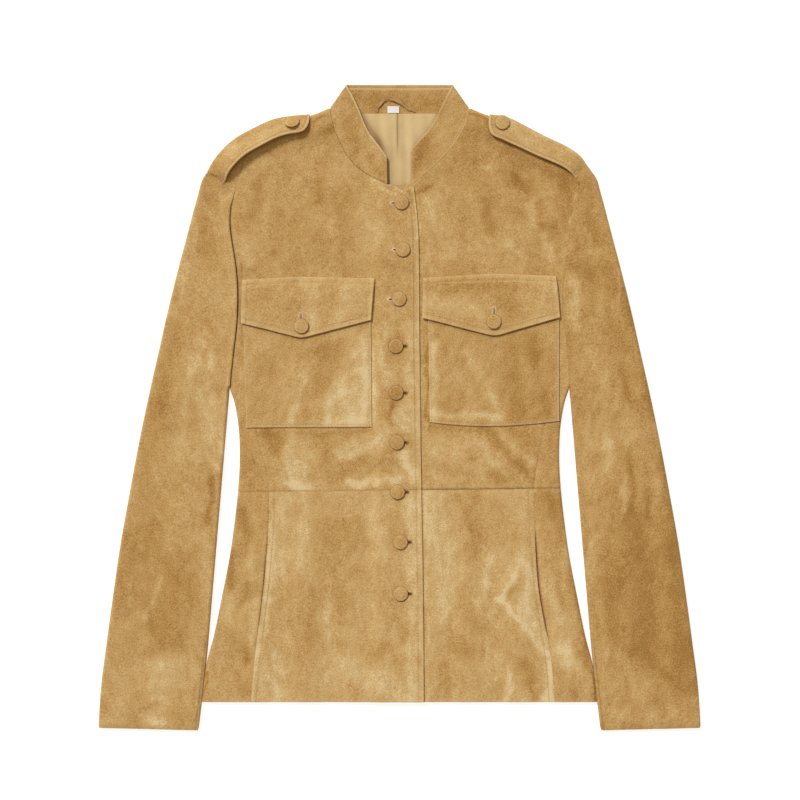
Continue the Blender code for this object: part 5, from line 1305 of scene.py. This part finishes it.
def strap(side, skin):
    outer = strap_grid(side, STRAP_RADIUS + STRAP_WALL, ROLL + STRAP_END_STAND[side])
    inner = strap_grid(side, STRAP_RADIUS, ROLL - STRAP_END_SUNK)
    normal = unit(outer - inner)
    away = border_distances(outer)
    away["outline"] = line_distance(outer, np.vstack([outer[0], outer[1:, -1]]))
    borders = {"outline": turned(STRAP_STITCHED_AT), "left": turned(), "top": sewn(STRAP_SEWN[side])}
    height, shade, light = sewing_relief(outer, borders, away)
    flat = np.where(normal[..., 2] < -0.5, 0.0, 1.0)
    outer = outer + normal * (height * flat)[..., None]
    nap = nap_and_painted_shade(outer[..., :2], "strap")
    made = shell(f"strap_{WORD[side]}_cloth", outer, inner, skin, nap, shade, light)
    declare(f"strap_{WORD[side]}")
    line = inside_line(np.concatenate([outer, normal], axis=-1), away["outline"], STRAP_STITCHED_AT,
                       len(NEAR_PLAIN) + STRAP_SPANS + 1, len(NEAR_STRAP) + STRAP_SPANS)
    THREADS.setdefault("stitching_straps", []).append((line[:, :3], line[:, 3:]))


# ---- buttons and buttonholes

def basis(direction):
    """Three square directions, the last one the given one."""
    up = unit(np.array(direction, float))
    side = unit(np.cross((0.0, 1.0, 0.0), up))
    return np.stack([side, np.cross(up, side), up])


def button(node, place, direction, skin):
    """Covered button: a dome whose cloth is drawn over the rim in small pleats."""
    axes = basis(direction)
    seed = place[0] * 0.37 + place[1] * 0.11
    verts = []
    for radius, height in BUTTON_LATHE:
        for turn in around(BUTTON_SIDES):
            pleated = smoothstep((radius - BUTTON_FOOT) / PLEAT_OVER)
            pleat = PLEAT_DEPTH * math.sin(BUTTON_PLEATS * turn + seed) * pleated
            sag = 0.10 * math.sin(turn + seed) + 0.06 * math.sin(3 * turn + 2 * seed)
            sag *= (height > BUTTON_DOME_FROM) * radius / 8.0
            local = np.array([(radius + pleat) * math.cos(turn), (radius + pleat) * math.sin(turn),
                              height + sag])
            verts.append(np.array(place) + local @ axes)
    faces = tube_faces(len(BUTTON_LATHE), BUTTON_SIDES)
    made = add_object(node + "_covered", verts, faces, skin, BUTTON_SMOOTH)
    radii, heights = np.repeat(BUTTON_LATHE, BUTTON_SIDES, axis=0).T
    set_values(made, nap=np.full(len(verts), BUTTON_NAP_AND_SHADE.get(node, PLAIN_BUTTON_NAP)),
               shade=1.3 * np.maximum(bell(radii - BUTTON_RIM, 0.55), heights < BUTTON_DOME_FROM),
               light=0.6 * bell(radii - BUTTON_SHOULDER, 0.7) * (heights > 1.3))
    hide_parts(node)


def button_places():
    """Each button's node, place of its underside and direction."""
    places = []
    for index, (x, y) in enumerate(FRONT_BUTTONS, 1):
        height = surface(np.array([[x, y]]), TOP, front_swell(RIGHT))[0][0, 2]
        places.append((f"button_front_{index}", (x, y, height + SEAM_GAP), (0.0, 0.0, 1.0)))
    for side in (RIGHT, LEFT):
        place = mirrored(POCKET_BUTTONS[side], side)
        outer, normal = surface(place[None], TOP, front_swell(side))
        lift = flap_lift(FLAP_BEND, 1.0) + SEAM_GAP
        places.append((f"button_pocket_{WORD[side]}", outer[0] + normal[0] * lift, normal[0]))
        x, run = STRAP_BUTTONS[side]
        line, inwards = strap_ridge(side)
        at = np.abs(np.abs(line[:, 0]) - x).argmin()
        angle = math.radians(STRAP_ANGLE[side])
        radius = STRAP_RADIUS + STRAP_WALL + SEAM_GAP
        inward = ROLL - radius * math.sin(angle) + run * math.cos(angle)
        up = radius * math.cos(angle) + run * math.sin(angle)
        place = (*(line[at] + inward * inwards[at]), middle(line[at][None])[0] + up)
        angle += math.radians(STRAP_BUTTON_TILT[side])
        direction = (*(-math.sin(angle) * inwards[at]), math.cos(angle))
        places.append((f"button_strap_{WORD[side]}", place, direction))
    return places


def oval(length, width, count):
    """Closed outline with straight sides and round ends, along +X."""
    half = (length - width) / 2
    turns = np.linspace(0.0, 2 * math.pi, count, endpoint=False)
    x = np.cos(turns) * width / 2 + np.where(np.cos(turns) >= 0, half, -half)
    return np.stack([x, np.sin(turns) * width / 2], axis=1)


def placed(points, degrees, centre):
    """Plan points turned about the origin and moved to a centre."""
    turn = math.radians(degrees)
    matrix = np.array([(math.cos(turn), math.sin(turn)), (-math.sin(turn), math.cos(turn))])
    return points @ matrix + np.array(centre, float)


def buttonhole(centre, degrees, lift_of, group, width=HOLE_WIDTH):
    """Oval of cross stitches around a hole."""
    ring = oval(HOLE_LENGTH, width, 12)
    outline = spaced(np.vstack([ring, ring[:1]]), HOLE_COUNT)[:-1]
    tangent = np.roll(outline, -1, axis=0) - np.roll(outline, 1, axis=0)
    outwards = HOLE_STITCH_HALF * unit(np.stack([tangent[:, 1], -tangent[:, 0]], axis=1))
    for point, out in zip(outline, outwards):
        ends = placed(np.stack([point - out, point, point + out]), degrees, centre)
        THREADS.setdefault(group, []).append(lift_of(ends))


def hole_slit(name, centre, degrees, lift_of, dark, shorter, width=2.5):
    """Dark slit inside the ring of stitches: a sheet of painted shade where the hole opens."""
    outline = placed(oval(HOLE_LENGTH - shorter, width, SLIT_SIDES), degrees, centre)
    points, normals = lift_of(outline)
    made = add_object(name, points + normals * SLIT_LIFT, [tuple(range(SLIT_SIDES))], dark)


# ---- small pieces

def buttonholes(dark, thread_dark):
    def on_lap(points):
        return surface(points, TOP, front_swell(RIGHT))
    for index, (x, y) in enumerate(FRONT_BUTTONS):
        shift, drop, degrees, shorter = FRONT_HOLES[index]
        centre = (x + shift, y + drop)
        group = "stitching_buttonholes" if index < LIGHT_HOLES else "stitching_lower_holes"
        buttonhole(centre, degrees, on_lap, group)
        hole_slit(f"buttonhole_front_{index + 1}", centre, degrees, on_lap, dark, shorter)
    for side in (RIGHT, LEFT):
        def on_flap(points, side=side):
            outer, normal = surface(points, TOP, front_swell(side))
            return outer + normal * flap_lift(FLAP_BEND, 0.8), normal
        x, y = POCKET_BUTTONS[side]
        centre = (x * side + POCKET_HOLE_SHIFT[side], y + POCKET_HOLE_RISE[side] + 6.0 - HOLE_LENGTH / 2)
        buttonhole(centre, 90.0, on_flap, "stitching_pocket_holes", POCKET_HOLE_WIDTH)
        hole_slit(f"buttonhole_pocket_{WORD[side]}", centre, 90.0, on_flap, thread_dark,
                  POCKET_SLIT_SHORTER, POCKET_SLIT_WIDTH)


def over_back(points, lift):
    """Points a height over the inner face of the back layer, and the directions up."""
    outer, normal = surface(points, BACK)
    return outer - normal * (WALL + lift[..., None]), -normal


def lining(skin):
    """Back lining with a pleat, pulled and shaded where the collar's sides hide it."""
    x = np.linspace(-LINING_HALF_WIDTH, LINING_HALF_WIDTH, LINING_COLUMNS)
    y = np.linspace(LINING_BOTTOM_Y, BACK_NECK_Y - SEAM, LINING_ROWS)
    grid = np.stack(np.meshgrid(x, y), axis=-1)
    x, y = grid[..., 0], grid[..., 1]
    past = x - PLEAT_EDGE_X
    pleat = np.where(past < 0, np.exp(past / PLEAT_RISE), np.exp(-past / PLEAT_BACK))
    tuck = np.exp(-(((grid - TUCK) / TUCK_SIZE)**2).sum(-1))
    soft = 0.22 * np.sin(x / 5.2 + y / 31.0) + 0.15 * np.sin(x / 8.9 - y / 19.0 + 1.0)
    outer = over_back(grid, SEAM_GAP + LINING_WALL + 0.35 + 0.55 * pleat + 0.45 * tuck + soft)[0]
    inner = over_back(grid, np.full(x.shape, SEAM_GAP))[0]
    # Painted shade of the lining: a dark line in the pleat's fold, the collar's shadow on the wearer's
    # right, a dimmer band on the wearer's left, a little all over and the satin's streaks; the raised pleat
    # gets a painted highlight
    streaks_and_shade = 0.09 * np.sin(x / 2.1 + np.sin(y / 23.0)) + 0.07 * np.sin(x / 3.7 + 2.0)
    streaks_and_shade *= 1 + 1.5 * smoothstep((300.0 - y) / 25.0)
    streaks_and_shade += 0.6 * np.exp(-np.maximum(np.interp(y, *LINING_DIM_EDGE) - x, 0.0) / 4.0)
    dark = np.exp(-np.maximum(x - np.interp(y, *LINING_DARK_EDGE), 0.0) / 3.6)
    shade = 0.9 * bell(past - 0.9, 1.1) * smoothstep((y - 268.0) / 22.0) + 1.1 * dark + 0.12 + streaks_and_shade
    made = shell("lining_cloth", outer, inner, skin, shade=shade, light=0.5 * pleat)
    declare("lining_back")


def label(skin):
    """Small blank label, bowed a little."""
    x0, x1, y0, y1 = LABEL
    x, y = np.linspace(x0, x1, LABEL_COLUMNS), np.linspace(y0, y1, LABEL_ROWS)
    grid = np.stack(np.meshgrid(x, y), axis=-1)
    across = (grid[..., 0] - x0) / (x1 - x0)
    bow = 0.35 * np.sin(math.pi * across) + 0.12 * np.sin(3.0 * across + grid[..., 1] / 3.0)
    outer, inner = (over_back(grid, SEAM_GAP + wall + bow)[0] for wall in (LABEL_WALL, 0.0))
    made = shell("label_cloth", outer, inner, skin)
    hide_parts("label")


def hanger_loop(skin):
    """Twisted ribbon over the top of the lining."""
    path = spaced(spline(LOOP), LOOP_STEPS)
    run = np.gradient(path, axis=0)
    across = unit(np.stack([-run[:, 1], run[:, 0]], axis=1))
    share = np.linspace(0.0, 1.0, len(path))
    rise = SEAM_GAP + LOOP_WALL / 2 + LOOP_STAND + LOOP_RISE * np.sin(math.pi * share)
    centres, ups = over_back(path, rise)
    verts = []
    for centre, up, flat_way, part in zip(centres, ups, across, share):
        twist = LOOP_TWIST * part + 0.5 * math.sin(7.0 * part)
        side_way = np.array([*flat_way, 0.0])
        for turn in around(LOOP_SIDES):
            a, b = LOOP_WIDTH / 2 * math.cos(turn), LOOP_WALL / 2 * math.sin(turn)
            wide = a * math.cos(twist) - b * math.sin(twist)
            high = (a * math.sin(twist) + b * math.cos(twist)) * LOOP_FLAT
            verts.append(centre + side_way * wide + up * high)
    made = add_object("hanger_loop_ribbon", verts, tube_faces(len(path), LOOP_SIDES), skin)
    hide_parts("hanger_loop")


def facing(side, skin):
    """Thin strip inside the pocket opening below the waist."""
    line = princess_lower(side)
    line = spaced(line[(line[:, 1] > SLIT_BOTTOM_Y) & (line[:, 1] < SLIT_TOP_Y)], FACING_ROWS)
    across = np.linspace(*FACING_ACROSS, FACING_COLUMNS)
    grid = line[:, None, :] + np.stack([across, np.zeros_like(across)], axis=1)[None]
    outer, normal = surface(mirrored(grid, side), TOP, front_swell(side))
    outer, inner = (outer - normal * (WALL + below) for below in (FACING_TOP, FACING_FOOT))
    made = shell(f"pocket_facing_{WORD[side]}", outer, inner, skin)


# ---- materials

def linear(red, green, blue):
    """Scene colour of a colour given in steps of 255."""
    shares = [each / 255 for each in (red, green, blue)]
    values = [each / 12.92 if each <= 0.04045 else ((each + 0.055) / 1.055)**2.4 for each in shares]
    return (*values, 1.0)


class Nodes:
    """Short way to add shader nodes and to join them."""

    def __init__(self, name):
        self.material = bpy.data.materials.new(name)
        self.material.use_nodes = True
        self.tree = self.material.node_tree
        self.shader = self.tree.nodes["Principled BSDF"]

    def put(self, socket, value):
        if isinstance(value, bpy.types.NodeSocket):
            self.tree.links.new(value, socket)
        else:
            socket.default_value = value

    def add(self, kind, settings=None, **inputs):
        made = self.tree.nodes.new("ShaderNode" + kind)
        for key, value in (settings or {}).items():
            setattr(made, key, value)
        for key, value in inputs.items():
            self.put(made.inputs[key.replace("_", " ")], value)
        return made

    def math(self, operation, *values):
        made = self.add("Math", {"operation": operation})
        for index, value in enumerate(values):
            self.put(made.inputs[index], value)
        return made.outputs[0]

    def noise(self, place, scale, detail=2.0, roughness=0.55):
        made = self.add("TexNoise", None, Vector=place, Scale=scale, Detail=detail, Roughness=roughness)
        return made.outputs["Fac"]

    def stored(self, name, share):
        """A value kept on the mesh, times a share."""
        made = self.add("Attribute", {"attribute_type": "GEOMETRY", "attribute_name": name})
        return self.math("MULTIPLY", made.outputs["Fac"], share)

    def mix(self, share, first, second):
        made = self.add("Mix", {"data_type": "RGBA"})
        for index, value in ((0, share), (6, first), (7, second)):
            self.put(made.inputs[index], value)
        return made.outputs[2]

    def bump(self, strength, distance, height):
        made = self.add("Bump", None, Strength=strength, Distance=distance, Height=height)
        self.put(self.shader.inputs["Normal"], made.outputs[0])

    def finish(self, colour, **values):
        """Give the shader its colour and its own values."""
        for key, value in {"Base_Color": colour, **values}.items():
            self.put(self.shader.inputs[key.replace("_", " ")], value)
        return self.material


def suede_skin(name, degrees=0.0, seed=0.0, tone=0.0, drawn_out=0.5):
    """Brushed suede: stored nap, with its strokes of painted shade, and noise of four sizes choose the
    tone; stored painted shade and painted highlight darken and lighten it.
    """
    nodes = Nodes(name)
    place = nodes.add("TexCoord").outputs["Object"]
    turned_place = nodes.add("Mapping", None, Vector=place, Location=(seed, 0.6 * seed, 0.0),
                             Rotation=(0.0, 0.0, math.radians(degrees))).outputs[0]
    drawn = nodes.add("Mapping", None, Vector=turned_place, Scale=(1.0, drawn_out, 1.0)).outputs[0]
    fields = [nodes.noise(drawn if is_drawn else turned_place, scale, detail, roughness)
              for scale, detail, roughness, weight, is_drawn in NAP_NOISES]
    mottle, grain = fields[2:]
    broken = nodes.math("MULTIPLY_ADD", mottle, NAP_BROKEN, 1 - NAP_BROKEN / 2)
    nap = nodes.stored("nap", broken)
    lighter = nodes.math("MULTIPLY", nodes.math("MAXIMUM", nap, 0.0), NAP_LIGHTER)
    value = nodes.math("MULTIPLY_ADD", nap, NAP_SHARE, nodes.math("ADD", lighter, 0.5 + tone))
    for field, (*_, weight, is_drawn) in zip(fields, NAP_NOISES):
        value = nodes.math("ADD", value, nodes.math("MULTIPLY_ADD", field, weight, -weight / 2))
    ramp = nodes.add("ValToRGB", None, Fac=value)
    stops = ramp.color_ramp.elements
    while len(stops) < len(SUEDE_TONES):
        stops.new(0.5)
    for stop, (at, colour) in zip(stops, SUEDE_TONES):
        stop.position, stop.color = at, linear(*colour)
    shade = nodes.math("MINIMUM", nodes.stored("shade", SHADE_SHARE), SHADE_MOST)
    colour = nodes.mix(shade, ramp.outputs["Color"], linear(*SUEDE_SHADE))
    colour = nodes.mix(nodes.stored("light", LIGHT_SHARE), colour, linear(*SUEDE_LIGHT))
    rough = nodes.math("ADD", grain, nodes.math("MULTIPLY", mottle, BUMP_MOTTLE))
    nodes.bump(BUMP_STRENGTH, BUMP_DEPTH, rough)
    return nodes.finish(colour, Roughness=0.92, Specular_IOR_Level=0.12, Sheen_Weight=0.3,
                        Sheen_Roughness=0.5, Sheen_Tint=linear(236, 214, 176))


def plain_skin(name, colour, roughness, sheen=0.0, weave=0.0, shade_colour=(120, 84, 48), specular=0.3):
    """Plain cloth or thread with fine grain, darkened where its shade is stored."""
    nodes = Nodes(name)
    place = nodes.add("TexCoord").outputs["Object"]
    grain, cloudy = nodes.noise(place, 900.0), nodes.noise(place, 60.0)
    tone = nodes.math("MULTIPLY", nodes.math("ADD", grain, cloudy), 0.5)
    darker, lighter = ([min(255, each * share) for each in colour] for share in (0.86, 1.08))
    base = nodes.mix(tone, linear(*darker), linear(*lighter))
    if weave:
        nodes.bump(weave, 0.0003, grain)
    return nodes.finish(nodes.mix(nodes.stored("shade", 0.6), base, linear(*shade_colour)),
                        Roughness=roughness, Specular_IOR_Level=specular, Sheen_Weight=sheen)


# ---- the jacket

def dress():
    suede = {name: suede_skin(name, *values) for name, values in SUEDES.items()}
    plain = {name: plain_skin(name, *values) for name, values in PLAINS.items()}
    body = suede["suede"]
    for side in (RIGHT, LEFT):
        word = WORD[side]
        front_upper(side, suede["suede_chest_" + word])
        front_side_upper(side, body)
        front_lower(side, suede["suede_low"])
        front_side_lower(side, body)
        for layer in (TOP, BACK):
            sleeve(side, layer, suede["suede_sleeve_" + word])
        pocket(side, suede["suede_pocket_" + word])
        flap(side, suede["suede_pocket_" + word])
        strap(side, suede["suede_strap_" + word])
        facing(side, plain["facing"])
    back_upper(body)
    back_lower(body)
    collar(suede["suede_collar"])
    for node, place, direction in button_places():
        button(node, place, direction, body)
    buttonholes(plain["hole_shade"], plain["thread_dark"])
    lining(plain["satin"])
    hanger_loop(plain["ribbon"])
    label(plain["label_white"])
    for group, lines in THREADS.items():
        sizes = (HOLE_STITCH, HOLE_STITCH, HOLE_THREAD_RADIUS) if "holes" in group else ()
        stitch_mesh(group, lines, plain[THREAD_OF.get(group, "thread")], *sizes)


# ---- floor, light and camera

def floor():
    half = FLOOR_HALF
    mesh = bpy.data.meshes.new("floor")
    corners = [(x * half, y * half, FLOOR_Z) for x, y in ((-1, -1), (1, -1), (1, 1), (-1, 1))]
    mesh.from_pydata(corners, [], [(0, 1, 2, 3)])
    mesh.materials.append(Nodes("floor_white").finish(
        FLOOR_COLOUR, Emission_Color=(1.0, 1.0, 1.0, 1.0), Emission_Strength=FLOOR_GLOW,
        Roughness=0.9, Specular_IOR_Level=0.1))
    made = bpy.data.objects.new("floor", mesh)
    bpy.context.scene.collection.objects.link(made)


def light_and_camera():
    sun = bpy.data.lights.new("key", "SUN")
    sun.angle, sun.energy, sun.color = math.radians(SUN_ANGLE), SUN_STRENGTH, SUN_COLOUR
    key = bpy.data.objects.new("key", sun)
    key.rotation_euler = Vector(SUN_FROM).to_track_quat("Z", "Y").to_euler()
    bpy.context.scene.collection.objects.link(key)
    world = bpy.data.worlds.new("studio")
    world.use_nodes = True
    background = world.node_tree.nodes["Background"]
    background.inputs["Color"].default_value = WORLD_COLOUR
    background.inputs["Strength"].default_value = WORLD_STRENGTH
    bpy.context.scene.world = world
    bpy.context.scene.view_settings.view_transform = "Standard"
    camera = bpy.data.cameras.new("camera")
    camera.lens, camera.sensor_width = 90.0, 36.0
    made = bpy.data.objects.new("camera", camera)
    made.location = CAMERA_PLACE
    bpy.context.scene.collection.objects.link(made)
    bpy.context.scene.camera = made


dress()
floor()
light_and_camera()
